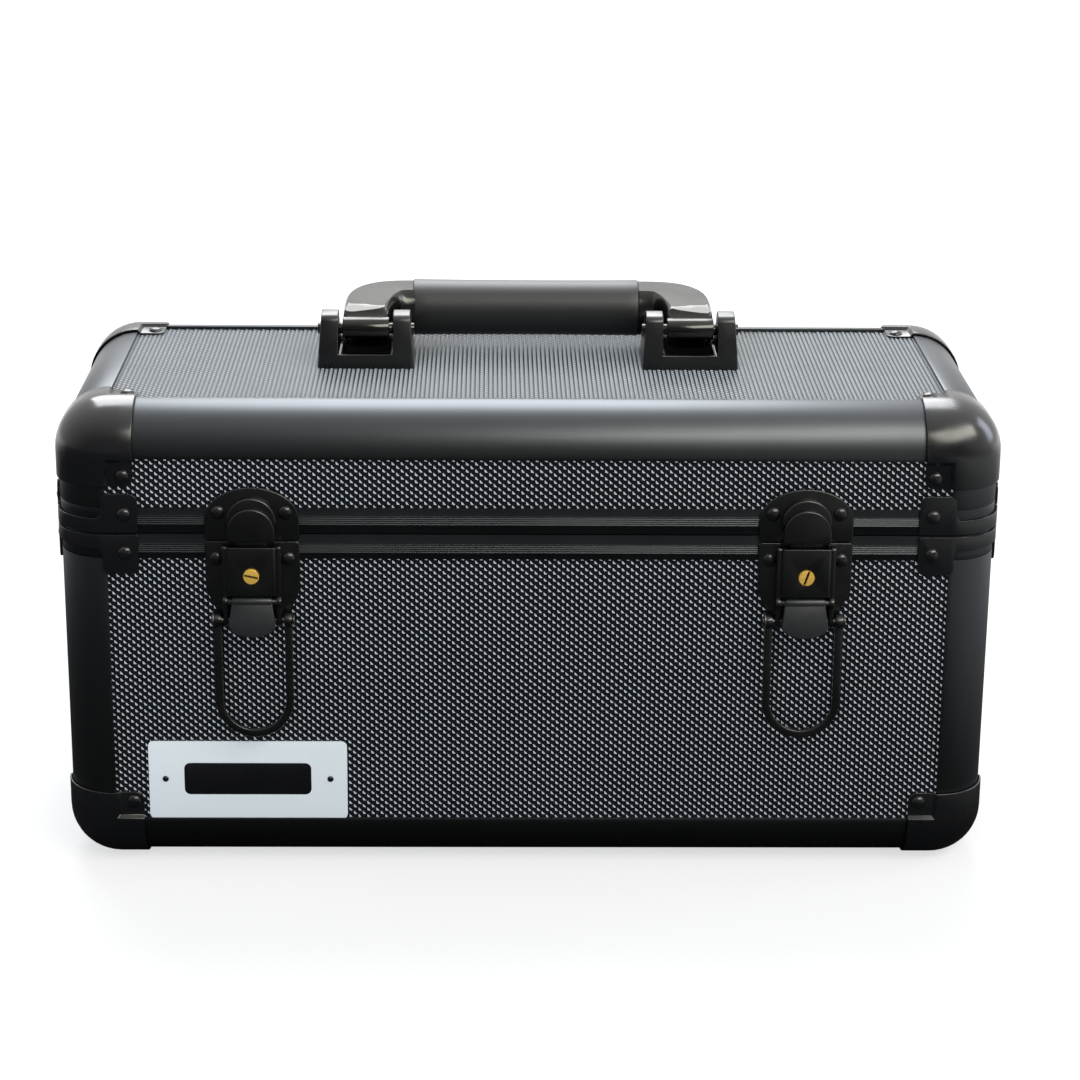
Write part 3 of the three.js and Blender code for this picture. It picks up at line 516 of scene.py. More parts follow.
def rolled_edge(name, ranges, outer):
    """ranges are the block's x, y and z; outer gives the two outer planes, and None along the bar."""
    piece = start_block(name, *ranges)
    planes = [i for i in range(3) if outer[i] is not None]
    pick(piece, "EDGE", lambda m, s, p: all(near(m[i], outer[i]) for i in planes))
    bevel_picked(EDGE_RADIUS - ALMOST, ARC_SEGMENTS)
    pick(piece, "FACE", lambda m, s, p: max(abs(v) for v in p.normal) > FLAT)
    bpy.ops.mesh.delete(type="FACE")
    face_outwards(piece, MIDDLE)
    thicken(piece, EDGE_WALL)
    return soften(piece, 0.25, 2, 60)


END = EDGE_RADIUS + 0.5
LONG = (LEFT + END, RIGHT - END)
SHORT = (FRONT + END, BACK - END)
RIM_HEIGHT = 10

long_edge = rolled_edge("base_front_extrusion", (LONG, AT_FRONT, AT_FLOOR), (None, FRONT, BOTTOM))
short_edge = rolled_edge("base_left_extrusion", (AT_LEFT, SHORT, AT_FLOOR), (LEFT, None, BOTTOM))
base_post = rolled_edge("base_front_left_extrusion",
                        (AT_LEFT, AT_FRONT, (BOTTOM + END, SPLIT - RIM_HEIGHT)),
                        (LEFT, FRONT, None))
lid_post = rolled_edge("lid_front_left_extrusion", (AT_LEFT, AT_FRONT, (SPLIT + RIM_HEIGHT, TOP - END)),
                       (LEFT, FRONT, None))

# %% [markdown]
# The other extrusions are mirror images of these four across the middle planes of the case, so they are
# copied and not modelled again. A mirrored mesh has its faces turned back outwards by the copy helper.

# %% Copies of the extrusions
ACROSS_X = mirror_across(0, MIDDLE.x)
ACROSS_Y = mirror_across(1, MIDDLE.y)
ACROSS_Z = mirror_across(2, MIDDLE.z)
AS_IS = Matrix.Identity(4)
CORNERS = {"front_left": AS_IS, "front_right": ACROSS_X, "back_left": ACROSS_Y,
           "back_right": ACROSS_X @ ACROSS_Y}


def spread(piece, places):
    """The piece itself for the first place and a copy for each other one."""
    names = list(places)
    copies = {name: copy_piece(piece, name, places[name]) for name in names[1:]}
    return {names[0]: piece, **copies}


def all_corners(kind, to_lid):
    """The names and places of a corner piece on the base, and on the lid by one more mirror."""
    return {f"{body}_{corner}_{kind}": matrix @ lift for body, lift in (("base", AS_IS), ("lid", to_lid))
            for corner, matrix in CORNERS.items()}


for piece, side, other, flip, axis in ((long_edge, "front", "back", ACROSS_Y, "X"),
                                       (short_edge, "left", "right", ACROSS_X, "Y")):
    made = spread(piece, {f"base_{side}_extrusion": AS_IS, f"base_{other}_extrusion": flip,
                          f"lid_{side}_extrusion": ACROSS_Z, f"lid_{other}_extrusion": flip @ ACROSS_Z})
    for name, bar in made.items():
        dress(bar, name.split("_")[0], EDGE_FINISH[axis],
              [name.replace("extrusion", "edge")])

for piece, prefix in ((base_post, "base"), (lid_post, "lid")):
    for name, bar in spread(piece, {f"{prefix}_{c}_extrusion": m for c, m in CORNERS.items()}).items():
        nodes = [name.replace("extrusion", "post")] if prefix == "base" else []
        dress(bar, prefix, EDGE_FINISH["Z"], nodes)

# %% [markdown]
# ## The ribbed rims
# Where lid and base meet, each has a rim extrusion bent round the whole box, with five fine ribs along
# it. The band is a block without its top and bottom, its upright edges bevelled to the case's radius.
# Bisect cuts it at every crest and valley, and shrink/fatten presses the valleys in. The corners stay
# smooth, because there the plates lie on them. The base rim also carries a thin tongue that stands up
# inside the lid and keeps dust out.

# %% A band that follows the outline of the case
RIB_PITCH = 0.8
RIB_DEPTH = 0.25
RIBS = 5


def outline_band(name, inset, low, high):
    piece = start_block(name, (LEFT + inset, RIGHT - inset), (FRONT + inset, BACK - inset), (low, high))
    pick(piece, "EDGE", lambda m, s, p: s.z > NEAR)
    bevel_picked(EDGE_RADIUS - inset, ARC_SEGMENTS)
    pick(piece, "FACE", lambda m, s, p: s.z < NEAR)
    bpy.ops.mesh.delete(type="FACE")
    clear_selection()
    return piece


def ribbed_band(name, low, high, ribs_low, wall):
    """ribs_low is the height where the ribs start; they run up and down like a saw for their full height."""
    piece = outline_band(name, 0, low, high)
    heights = [ribs_low + i * RIB_PITCH / 2 for i in range(2 * RIBS + 1)]
    for height in heights:
        cut_across(piece, "Z", height)
    face_outwards(piece, MIDDLE)
    straight = [(far - start) / 2 - EDGE_RADIUS + NEAR for start, far in ((LEFT, RIGHT), (FRONT, BACK))]
    pick(piece, "VERT", lambda m, s, p: any(near(m.z, valley) for valley in heights[::2])
         and (abs(m.x - MIDDLE.x) < straight[0] or abs(m.y - MIDDLE.y) < straight[1]))
    bpy.ops.transform.shrink_fatten(value=-RIB_DEPTH * MM)
    clear_selection()
    thicken(piece, wall, even=False)
    return soften(piece, 0.25, 2, 75)


def plain_band(name, inset, low, high, wall):
    piece = outline_band(name, inset, low, high)
    face_outwards(piece, MIDDLE)
    thicken(piece, wall)
    return piece


TONGUE_DEPTH, TONGUE_WALL, TONGUE_TOP = 4.9, 1.2, 2.8
REBATE_DEPTH, REBATE_TOP, BACKING_WALL = 4.6, 3.4, 1.5
BASE_RIBS, LID_RIBS = -7.9, 3.2
base_rim = ribbed_band("base_ribbed_rim", SPLIT - RIM_HEIGHT, SPLIT - RIM_GAP / 2, SPLIT + BASE_RIBS,
                       REBATE_DEPTH)
tongue = plain_band("tongue", TONGUE_DEPTH, SPLIT - RIM_HEIGHT, SPLIT + TONGUE_TOP, TONGUE_WALL)
lid_rim = ribbed_band("lid_ribbed_rim", SPLIT + RIM_GAP / 2, SPLIT + RIM_HEIGHT, SPLIT + LID_RIBS,
                      REBATE_DEPTH - 0.05)
backing = plain_band("backing", REBATE_DEPTH, SPLIT + REBATE_TOP, SPLIT + RIM_HEIGHT, BACKING_WALL)
for rim, inner, body in ((base_rim, tongue, "base"), (lid_rim, backing, "lid")):
    join(rim, [inner])
    dress(rim, body, RIM_FINISH, [f"{body}_rim"])

# %% [markdown]
# ## The embossed boards
# The largest boards show some seven thousand raised points each, and the smallest about 450. They are
# 3.5 mm apart along a row, with rows 1.42 mm apart and every second row shifted by half. A bump map
# would look right only from the front: seen at a low angle, as on top, the real points hide the ground
# between them and run together into stripes. So they are geometry. One point is a six-sided mound with
# few faces, and two Array modifiers repeat it.

# %% One raised point, repeated over a field
POINT_PITCH = 3.5
ROW_PITCH = 1.42
POINT_HEIGHT = 0.36
POINT_RADIUS = 1.18
POINT_SHEAR = Matrix(((0.74, -0.5, 0, 0), (-0.06, 0.98, 0, 0), (0, 0, 1, 0), (0, 0, 0, 1)))
TIP_SHARE = 0.86
BLUNT_SHARE = 0.3
SINK = 0.05


def raised_point():
    """A low mound with a blunt triangle for its outline, leaning toward the lower right."""
    piece = start_rod("raised_point", "Z", POINT_RADIUS, (-SINK, POINT_HEIGHT), (0, 0, 0), 3)
    pick(piece, "EDGE", lambda m, s, p: s.z > NEAR and s.x < NEAR and s.y < NEAR)
    bevel_picked(BLUNT_SHARE * POINT_RADIUS, 1)
    pick(piece, "FACE", lambda m, s, p: p.normal.z < -FACING)
    bpy.ops.mesh.delete(type="FACE")
    pick(piece, "FACE", lambda m, s, p: p.normal.z > FACING)
    bpy.ops.transform.resize(value=(TIP_SHARE, TIP_SHARE, 1), center_override=(0, 0, 0))
    bpy.ops.object.mode_set(mode="OBJECT")
    piece.data.transform(POINT_SHEAR)
    for finish in (GROUND_FINISH, TIP_HIGHLIGHT_FINISH):
        piece.data.materials.append(finish)
    # Tips and the flank below each tip take the pale finish, a painted highlight.
    for face in piece.data.polygons:
        face.material_index = int(face.normal.z > FACING or face.normal.y < -0.6)
    return piece


def point_field(width, height):
    """A field of points in the XY plane round the origin, facing +Z."""
    piece = raised_point()
    shifted = copy_piece(piece, "shifted", Matrix.Translation((POINT_PITCH / 2 * MM, ROW_PITCH * MM, 0)))
    join(piece, [shifted])
    columns = round(width / POINT_PITCH)
    rows = round(height / (2 * ROW_PITCH))
    for count, step in ((columns, (POINT_PITCH * MM, 0, 0)), (rows, (0, 2 * ROW_PITCH * MM, 0))):
        modify(piece, "ARRAY", count=count, use_relative_offset=False, use_constant_offset=True,
               constant_offset_displace=step)
    middle = ((columns - 0.5) * POINT_PITCH / 2, (rows - 0.5) * ROW_PITCH, 0)
    piece.data.transform(Matrix.Translation([-v * MM for v in middle]))
    return piece


# %% A board with its field of points
WAYS = {"front": (0, -1, 0), "back": (0, 1, 0), "left": (-1, 0, 0), "right": (1, 0, 0)}
UPWARD, DOWNWARD = (0, 0, 1), (0, 0, -1)
FIELD_OVERLAP = 1.0


def facing(normal):
    """Turns a field that lies flat, facing +Z, to face another way, with its rows level."""
    up = UPWARD if normal[2] == 0 else (0, normal[2], 0)
    along = Vector(up).cross(Vector(normal))
    return Matrix((along, up, normal)).transposed().to_4x4()


def dotted_board(node, normal, body):
    low, high = node_box(node)
    board = start_block(node.replace("_panel", "_board"), *zip(low, high))
    board.data.materials.append(GROUND_FINISH)
    axis = [abs(v) for v in normal].index(1)
    shown_low, shown_high = Vector(low), Vector(high)
    frames = {0: (LEFT + EDGE_RADIUS, RIGHT - EDGE_RADIUS), 1: (FRONT + EDGE_RADIUS, BACK - EDGE_RADIUS),
              2: ((BOTTOM + EDGE_RADIUS, SPLIT - RIM_HEIGHT) if body == "base"
                  else (SPLIT + RIM_HEIGHT, TOP - EDGE_RADIUS))}
    for i in range(3):
        if i != axis:
            shown_low[i], shown_high[i] = frames[i]
    width, height = [v + FIELD_OVERLAP for i, v in enumerate(shown_high - shown_low) if i != axis]
    field = point_field(width, height)
    middle = (shown_low + shown_high) / 2
    middle[axis] = high[axis] if normal[axis] > 0 else low[axis]
    field.data.transform(Matrix.Translation(middle * MM) @ facing(normal))
    join(board, [field])
    return dress(board, body, None, [node])


for body in ("base", "lid"):
    for side, normal in WAYS.items():
        dotted_board(f"{body}_{side}_panel", normal, body)
dotted_board("lid_top_panel", UPWARD, "lid")
dotted_board("base_floor_panel", DOWNWARD, "base")

# %% [markdown]
# ## Rivets
# Every plate is held by domed steel rivets, 5.4 mm across, and the back hinge by smaller ones. A dome
# could be half a sphere, but the real head is flatter, so a sphere is squashed to 1.5 mm and cut in
# half. Each size is modelled once, standing on the origin, and copied along the normal of the plate.

# %% One rivet head and its copies
RIVET_RADIUS, RIVET_HEIGHT = 2.7, 1.5
LEAF_RIVET_RADIUS, LEAF_RIVET_HEIGHT = 1.6, 0.9


def rivet_head(radius, height):
    clear_selection()
    bpy.ops.mesh.primitive_uv_sphere_add(segments=20, ring_count=12, radius=radius * MM,
                                         scale=(1, 1, height / radius))
    piece = settle("rivet_head")
    pick_all(piece)
    bpy.ops.mesh.bisect(plane_co=(0, 0, -SINK * MM), plane_no=UPWARD, clear_inner=True, use_fill=True)
    clear_selection()
    return piece


big_rivet = rivet_head(RIVET_RADIUS, RIVET_HEIGHT)
small_rivet = rivet_head(LEAF_RIVET_RADIUS, LEAF_RIVET_HEIGHT)


def rivets_at(head, places):
    """Copies of a head; each place is a point in mm and a normal."""
    return [copy_piece(head, "rivet", Matrix.Translation(Vector(point) * MM)
                       @ Vector(UPWARD).rotation_difference(Vector(normal)).to_matrix().to_4x4())
            for point, normal in places]


print("rivet head faces:", len(big_rivet.data.polygons))

# %% [markdown]
# ## Ball corners
# A ball corner is one steel pressing that caps three extrusions. Three edges of a block are bevelled
# with the same radius, which rounds the outer corner like a ball. The inner faces go, and the flat
# square that is left on each side is where the tab sits: an inset without the open boundary leaves a
# narrow step along two of its sides, and the tab is pushed down onto the board and rounded at its tip.

# %% The pressing at the front left bottom corner
CORNER_LEG = 30
STEP_WIDTH = 1.25
TAB_DROP = 1.55
TAB_ROUNDING = 3.4
RIVET_SETBACK = 4
PRESSED_SHEET = 0.8


def pressed_corner():
    outer, far = ([plane + step for plane in (LEFT, FRONT, BOTTOM)] for step in (-PLATE_PROUD, CORNER_LEG))
    piece = start_block("base_front_left_ball_corner_pressing", *zip(outer, far))
    pick(piece, "EDGE", lambda m, s, p: sum(near(m[i], outer[i]) for i in range(3)) == 2)
    bevel_picked(PLATE_RADIUS, 12)
    pick(piece, "FACE", lambda m, s, p: any(near(m[i], far[i]) and s[i] < NEAR for i in range(3)))
    bpy.ops.mesh.delete(type="FACE")
    for i in range(3):
        pick(piece, "FACE", lambda m, s, p: near(m[i], outer[i]) and s[i] < NEAR and min(
            s[j] for j in range(3) if j != i) > CORNER_LEG - EDGE_RADIUS - 1)
        bpy.ops.mesh.inset(thickness=STEP_WIDTH * MM, use_boundary=False)
        drop = [0, 0, 0]
        drop[i] = TAB_DROP * MM
        bpy.ops.transform.translate(value=drop)
    tips = [[outer[i] + TAB_DROP if i == j else far[i] for i in range(3)] for j in range(3)]
    pick(piece, "VERT", lambda m, s, p: any(all(near(m[i], tip[i]) for i in range(3)) for tip in tips))
    bevel_picked(TAB_ROUNDING, 6, "VERTICES")
    face_outwards(piece, Vector(far))
    thicken(piece, PRESSED_SHEET)
    soften(piece, 0.3, 3, 40)
    heads = []
    for i in range(3):
        point = [v - RIVET_SETBACK for v in far]
        point[i] = outer[i] + TAB_DROP
        heads.append((point, [-(i == j) for j in range(3)]))
    return join(piece, rivets_at(big_rivet, heads))


for name, piece in spread(pressed_corner(), all_corners("ball_corner_pressing", ACROSS_Z)).items():
    dress(piece, name.split("_")[0], CORNER_FINISH, [name.replace("_pressing", "")])

# %% [markdown]
# ## Rim corner plates
# At each corner of the split, a strip 5.5 mm high runs round the post and rises in a soft S into a taller
# tab at either end. The press shop cuts such a blank flat and then bends it, and so does this cell: the
# outline is one flat face whose corners are rounded by vertex bevels, then cut into narrow strips where
# it will bend, and wrapped round the post.

# %% A flat blank, bent round the corner
STRIP_LOW = 0.45
STRIP_HIGH = 6
TAB_HIGH = 15.7
PLATE_REACH = 31.5
HALF_ARC = PLATE_RADIUS * math.pi / 4
HALF_ARC_CUTS = 12
BLANK_HALF = HALF_ARC + PLATE_REACH - EDGE_RADIUS
TAB_START = HALF_ARC - 1.6


def plate_blank():
    """The flat outline in x and z: tabs at both ends of a narrow strip."""
    piece = start_sheet("base_front_left_rim_plate", (0, 0, (STRIP_LOW + STRIP_HIGH) / 2),
                        (2 * BLANK_HALF, STRIP_HIGH - STRIP_LOW), TURNS["Y"])
    for cut in (-TAB_START, TAB_START):
        cut_across(piece, "X", cut)
    pick(piece, "EDGE", lambda m, s, p: near(m.z, STRIP_HIGH) and abs(m.x) > TAB_START)
    extrude_picked(z=TAB_HIGH - STRIP_HIGH)
    merge_doubles(piece)
    pick_all(piece)
    bpy.ops.mesh.dissolve_faces()
    for high, rounding in ((TAB_HIGH, 3.0), (STRIP_HIGH, 2.6)):
        pick(piece, "VERT", lambda m, s, p: near(m.z, high))
        bevel_picked(rounding, 6, "VERTICES")
    pick(piece, "VERT", lambda m, s, p: near(m.z, STRIP_LOW) and abs(m.x) > BLANK_HALF - 1)
    bevel_picked(0.8, 3, "VERTICES")
    return piece


def bend_round_corner(piece):
    """Wraps the blank round the front left post, with its height measured down from the split."""
    for cut in range(-HALF_ARC_CUTS, HALF_ARC_CUTS + 1):
        cut_across(piece, "X", HALF_ARC * cut / HALF_ARC_CUTS)
    clear_selection()
    centre = Vector((LEFT + EDGE_RADIUS, FRONT + EDGE_RADIUS, 0))
    for vertex in piece.data.vertices:
        run, height = vertex.co.x / MM, vertex.co.z / MM
        turn = math.pi / 4 + max(-HALF_ARC, min(HALF_ARC, run)) / PLATE_RADIUS
        x = centre.x - PLATE_RADIUS * math.cos(turn) + max(0, run - HALF_ARC)
        y = centre.y - PLATE_RADIUS * math.sin(turn) + max(0, -run - HALF_ARC)
        vertex.co = Vector((x, y, SPLIT - height)) * MM


plate_piece = plate_blank()
bend_round_corner(plate_piece)
face_outwards(plate_piece, MIDDLE)
thicken(plate_piece, PRESSED_SHEET)
soften(plate_piece, 0.3, 3)
RIVET_INSET, RIVET_DOWN = 26.3, 7.6
join(plate_piece, rivets_at(big_rivet, [
    ((LEFT + RIVET_INSET, FRONT - PLATE_PROUD, SPLIT - RIVET_DOWN), WAYS["front"]),
    ((LEFT - PLATE_PROUD, FRONT + RIVET_INSET, SPLIT - RIVET_DOWN), WAYS["left"])]))
for name, piece in spread(plate_piece, all_corners("rim_plate", mirror_across(2, SPLIT))).items():
    dress(piece, name.split("_")[0], CORNER_FINISH, [name.replace("plate", "corner")])

# %% [markdown]
# ## Draw latches
# Both latches are alike, so the left one is modelled and copied across. Sizes are taken as a latch maker
# would: sideways from the latch's middle, outwards from the front of the case, and up from the split.

# %% Places on a latch
keeper_low, keeper_high = node_box("left_latch_keeper")
LATCH_X = (keeper_low.x + keeper_high.x) / 2
LATCH_STEP = 2 * (MIDDLE.x - LATCH_X)
TO_RIGHT = Matrix.Translation((LATCH_STEP * MM, 0, 0))
PLATE_HALF = 17.9
PLATE_IN, PLATE_OUT = 0.2, 1.4
OVERLAP = 0.1     # joined parts reach this far into each other


def on_latch(x, out, z):
    """A point on the left latch, in mm of the case."""
    return Vector((LATCH_X + x, FRONT - out, SPLIT + z))


def latch_block(name, xs, outs, zs):
    low, high = on_latch(xs[0], outs[0], zs[0]), on_latch(xs[1], outs[1], zs[1])
    return start_block(name, *zip(low, high))


def domed_plate(name, half, outs, zs, shoulder):
    """A plate whose upper end is a half ellipse that starts at the shoulder's height."""
    dome_top = shoulder + half
    piece = latch_block(name, (-half, half), outs, (zs[0], dome_top))
    top = on_latch(0, 0, dome_top).z
    pick(piece, "EDGE", lambda m, s, p: s.y > NEAR and near(m.z, top) and s.x < NEAR)
    bevel_picked(half - NEAR, 18)
    base = on_latch(0, 0, shoulder).z
    pick(piece, "VERT", lambda m, s, p: m.z > base - ALMOST)
    bpy.ops.transform.resize(value=(1, 1, (zs[1] - shoulder) / half), center_override=(0, 0, base * MM))
    merge_doubles(piece, 0.05)
    clear_selection()
    return piece


def latch_rivets(x, z):
    return rivets_at(big_rivet, [(on_latch(side * x, PLATE_OUT, z), WAYS["front"]) for side in (-1, 1)])


def on_both_sides(piece, name, body, node, finish=LATCH_FINISH):
    """Finishes a left latch piece and copies it to the right latch."""
    twin = copy_piece(piece, f"right_{name}", TO_RIGHT)
    dress(piece, body.format("left"), finish, [f"left_{node}"])
    dress(twin, body.format("right"), finish, [f"right_{node}"])


# %% [markdown]
# ### Keeper and base plate
# The keeper is a pressed plate with a domed top and a raised boss that the hook's cap closes on. The base
# plate is a shield of the same sheet with the lock housing folded up from it. A housing made as a block
# without its back, top and bottom, then given a wall, is open where the hook enters, as the real one is.

# %% Keeper
KEEPER_SPAN, KEEPER_SHOULDER = (-2.2, 18.5), 6
BOSS_HALF, BOSS_OUT, BOSS_SPAN, BOSS_SHOULDER, BOSS_HOLLOW = 9.5, 5, (4.8, 15.3), 5.8, 5
keeper = domed_plate("left_keeper_plate", PLATE_HALF, (PLATE_IN, PLATE_OUT), KEEPER_SPAN, KEEPER_SHOULDER)
round_corners(keeper, 1, 1.2, lambda m: m.z < SPLIT)
soften(keeper, 0.4, 3)
boss = domed_plate("boss", BOSS_HALF, (PLATE_OUT - OVERLAP, BOSS_OUT), BOSS_SPAN, BOSS_SHOULDER)
soften(boss, 0.7, 3)
pick(boss, "FACE", lambda m, s, p: p.normal.z < -FLAT and s.x > BOSS_HALF)
bpy.ops.mesh.inset(thickness=NEAR * MM)
extrude_picked(z=BOSS_HOLLOW)
clear_selection()
join(keeper, [boss, *latch_rivets(12.7, 8.8)])
on_both_sides(keeper, "keeper_plate", "lid", "latch_keeper")

# %% Base plate with lock housing and cheeks
FOOT_BEND, FOOT_BOTTOM, FOOT_HALF = -22, -36, 11.5
HOUSING_HALF, HOUSING_OUT, HOUSING_SPAN, HOUSING_WALL = 9.3, 8.3, (-22.3, -3.1), 1
CHEEK_IN, CHEEK_OUT, CHEEK_FRONT = 9.2, 11.1, 6.6
LOCK_Z, KEYHOLE_RADIUS = -14.3, 3.15
PIVOT, HUB_RADIUS = on_latch(0, 6, -25.2), 2.2
plate = latch_block("left_lock_housing", (-PLATE_HALF, PLATE_HALF), (PLATE_IN, PLATE_OUT),
                    (FOOT_BOTTOM, -2.7))
cut_across(plate, "Z", SPLIT + FOOT_BEND)
foot_z = on_latch(0, 0, FOOT_BOTTOM).z
pick(plate, "VERT", lambda m, s, p: near(m.z, foot_z))
bpy.ops.transform.resize(value=(FOOT_HALF / PLATE_HALF, 1, 1), center_override=on_latch(0, 0, 0) * MM)
round_corners(plate, 1, 1.4, lambda m: m.z > SPLIT - 4 or m.z < foot_z + 1)
soften(plate, 0.35, 3, 40)

housing = latch_block("housing", (-HOUSING_HALF, HOUSING_HALF), (PLATE_OUT - OVERLAP, HOUSING_OUT),
                      HOUSING_SPAN)
round_corners(housing, 2, 1.1, lambda m: near(m.y, FRONT - HOUSING_OUT))
pick(housing, "FACE", lambda m, s, p: abs(p.normal.z) > FACING or p.normal.y > FACING)
bpy.ops.mesh.delete(type="FACE")
face_outwards(housing, on_latch(0, 2, -12))
thicken(housing, HOUSING_WALL)
take_away(housing, start_rod("keyhole", "Y", KEYHOLE_RADIUS, (FRONT - 12, FRONT - 6),
                             on_latch(0, 0, LOCK_Z), 40))
soften(housing, 0.3, 3)

folds = []
for side in (-1, 1):
    cheek = latch_block("cheek", sorted((side * CHEEK_IN, side * CHEEK_OUT)),
                        (PLATE_OUT - OVERLAP, CHEEK_FRONT), (FOOT_BOTTOM, HOUSING_SPAN[1]))
    round_corners(cheek, 0, 3.2, lambda m: near(m.z, foot_z) and near(m.y, FRONT - CHEEK_FRONT), 6)
    round_corners(cheek, 0, 1.2, lambda m: m.z > SPLIT - 4 and near(m.y, FRONT - CHEEK_FRONT))
    hub_ends = sorted(LATCH_X + side * x for x in (CHEEK_IN + 0.15, CHEEK_OUT))
    folds += [soften(cheek, 0.3), soften(start_rod("hub", "X", HUB_RADIUS, hub_ends, PIVOT), 0.25)]
join(plate, [housing, *folds, *latch_rivets(13.6, -9.5)])

# %% [markdown]
# The ring hangs on a zinc-plated steel pin through the cheeks. It's a separate metal, so it is a piece of
# its own here, though it belongs to the same solid: a rod with its ends swaged to small heads.

# %% Ring pin
PIN, PIN_HALF, PIN_RADIUS = on_latch(0, 4.9, -33), 15.2, 1.1
PIN_HEAD_SCALE, PIN_HEAD_STEP, PIN_HEAD_HEIGHT = 1.8, 0.05, 0.55


def ring_pin():
    piece = start_rod("left_ring_pin", "X", PIN_RADIUS, (LATCH_X - PIN_HALF, LATCH_X + PIN_HALF), PIN, 20)
    for side in (-1, 1):
        pick(piece, "FACE", lambda m, s, p: p.normal.x * side > FACING)
        extrude_picked(x=side * PIN_HEAD_STEP)
        bpy.ops.transform.resize(value=(1, PIN_HEAD_SCALE, PIN_HEAD_SCALE), center_override=PIN * MM)
        extrude_picked(x=side * PIN_HEAD_HEIGHT)
    return soften(piece, 0.2)


pin = ring_pin()
on_both_sides(plate, "lock_housing", "base", "latch_base")
on_both_sides(pin, "ring_pin", "base", "latch_base", ZINC_FINISH)

# %% [markdown]
# ### Hook, lever, lock plug and ring
# The hook's cap is a thick domed plate in front of the boss, on an arm that runs down inside the housing.
# The finger lever is a shield that leans out by 13 degrees, so a finger gets behind its round end. The
# lock plug is turned brass with a slot, and the two plugs rest at different angles, as keys leave them.

# %% Hook
CAP_HALF, CAP_IN, CAP_OUT, CAP_SPAN, CAP_SHOULDER = 9, 5.3, 7.7, (-1.2, 11.8), 2.8
HOOK_ARM_HALF, HOOK_ARM_IN, HOOK_ARM_OUT, HOOK_ARM_FOOT = 6, 3, 4.2, -19
cap = domed_plate("left_hook_cap", CAP_HALF, (CAP_IN, CAP_OUT), CAP_SPAN, CAP_SHOULDER)
round_corners(cap, 1, 0.8, lambda m: m.z < SPLIT)
soften(cap, 0.55, 3)
across = (-HOOK_ARM_HALF, HOOK_ARM_HALF)
join(cap, [soften(latch_block("arm", across, (HOOK_ARM_IN, HOOK_ARM_OUT), (HOOK_ARM_FOOT, 0)), 0.2),
           soften(latch_block("step", across, (HOOK_ARM_IN, CAP_OUT - 0.6), (CAP_SPAN[0], 0)), 0.2)])
on_both_sides(cap, "hook_cap", "{}_hook", "latch_hook")

# %% Lever
LEVER_TILT = math.radians(13)
TAB_HALF, TAB_TOP_HALF, TAB_LENGTH, TAB_SHEET, TAB_END = 8.9, 7.6, 13.6, 1.3, 4.6


def finger_tab():
    """The tab hangs straight below its pivot first, and is then leaned out."""
    shoulder = PIVOT.z - TAB_LENGTH + TAB_END
    low = shoulder - TAB_HALF
    piece = start_block("left_finger_lever", (LATCH_X - TAB_HALF, LATCH_X + TAB_HALF),
                        (PIVOT.y - 0.6 - TAB_SHEET, PIVOT.y - 0.6), (low, PIVOT.z))
    round_corners(piece, 1, TAB_HALF - NEAR, lambda m: near(m.z, low), 16)
    pick(piece, "VERT", lambda m, s, p: m.z < shoulder + ALMOST)
    bpy.ops.transform.resize(value=(1, 1, TAB_END / TAB_HALF), center_override=(0, 0, shoulder * MM))
    pick(piece, "VERT", lambda m, s, p: m.z > PIVOT.z - 0.1)
    bpy.ops.transform.resize(value=(TAB_TOP_HALF / TAB_HALF, 1, 1), center_override=PIVOT * MM)
    merge_doubles(piece, 0.05)
    soften(piece, 0.45, 3)
    piece.data.transform(turn_about(PIVOT, -LEVER_TILT, "X"))
    return piece


tab = finger_tab()
for radius, half, sides in ((HUB_RADIUS, 7.4, 28), (1.2, CHEEK_OUT, 16)):
    join(tab, [soften(start_rod("axle", "X", radius, (LATCH_X - half, LATCH_X + half), PIVOT, sides), 0.2)])
on_both_sides(tab, "finger_lever", "{}_lever", "latch_lever", finish=LEVER_FINISH)


# %% Lock plug
PLUG_MIDDLE, PLUG_RADIUS = on_latch(0, 0, LOCK_Z), 3
PLUG_TURNS = {"left": 12, "right": -72}


def plug_block(name, half, outs, up, down):
    """A block about the plug's middle, half as wide on each side, from outs of the case's front."""
    low, high = (PLUG_MIDDLE + Vector((side * half, 0, rise)) for side, rise in ((-1, -down), (1, up)))
    return start_block(name, (low.x, high.x), [FRONT - out for out in outs], (low.z, high.z))


def lock_plug():
    piece = start_rod("left_lock_plug", "Y", PLUG_RADIUS, (FRONT - 9.1, FRONT - 5), PLUG_MIDDLE, 48)
    soften(piece, 0.35, 3)
    take_away(piece, plug_block("slot", 4, (10, 8.1), 0.45, 0.45))
    # A thin black block at the bottom of the key slot: painted shade for the dark depth of the keyway.
    shade = plug_block("slot_painted_shade", 2.6, (8.3, 8), 0.42, 0.42)
    cam = soften(plug_block("cam", 1.7, (5, 4), 0, 6.2), 0.3)
    for part, finish in ((piece, BRASS_FINISH), (shade, LATCH_FINISH), (cam, BRASS_FINISH)):
        part.data.materials.append(finish)
    return join(piece, [shade]), cam


left_pair = lock_plug()
right_pair = [copy_piece(part, f"right_{name}", TO_RIGHT)
              for part, name in zip(left_pair, ("lock_plug", "cam"))]
for (piece, cam), (side, degrees), step in zip((left_pair, right_pair), PLUG_TURNS.items(),
                                               (0, LATCH_STEP)):
    centre = PLUG_MIDDLE + Vector((step, 0, 0))
    piece.data.transform(turn_about(centre, math.radians(degrees), "Y"))
    join(piece, [cam])
    dress(piece, f"{side}_lock", None, [f"{side}_latch_lock"])

# %% [markdown]
# The ring is one strip, so it is made in one go from its own section: the rectangle goes down one leg by
# an extrude, round the bend by a spin, and up the other leg by a second extrude.

# %% Ring
RING_HALF, RING_STRIP, RING_THICK, RING_DROP, EYE_RADIUS = 15, 3, 2, 47.6, 2.7


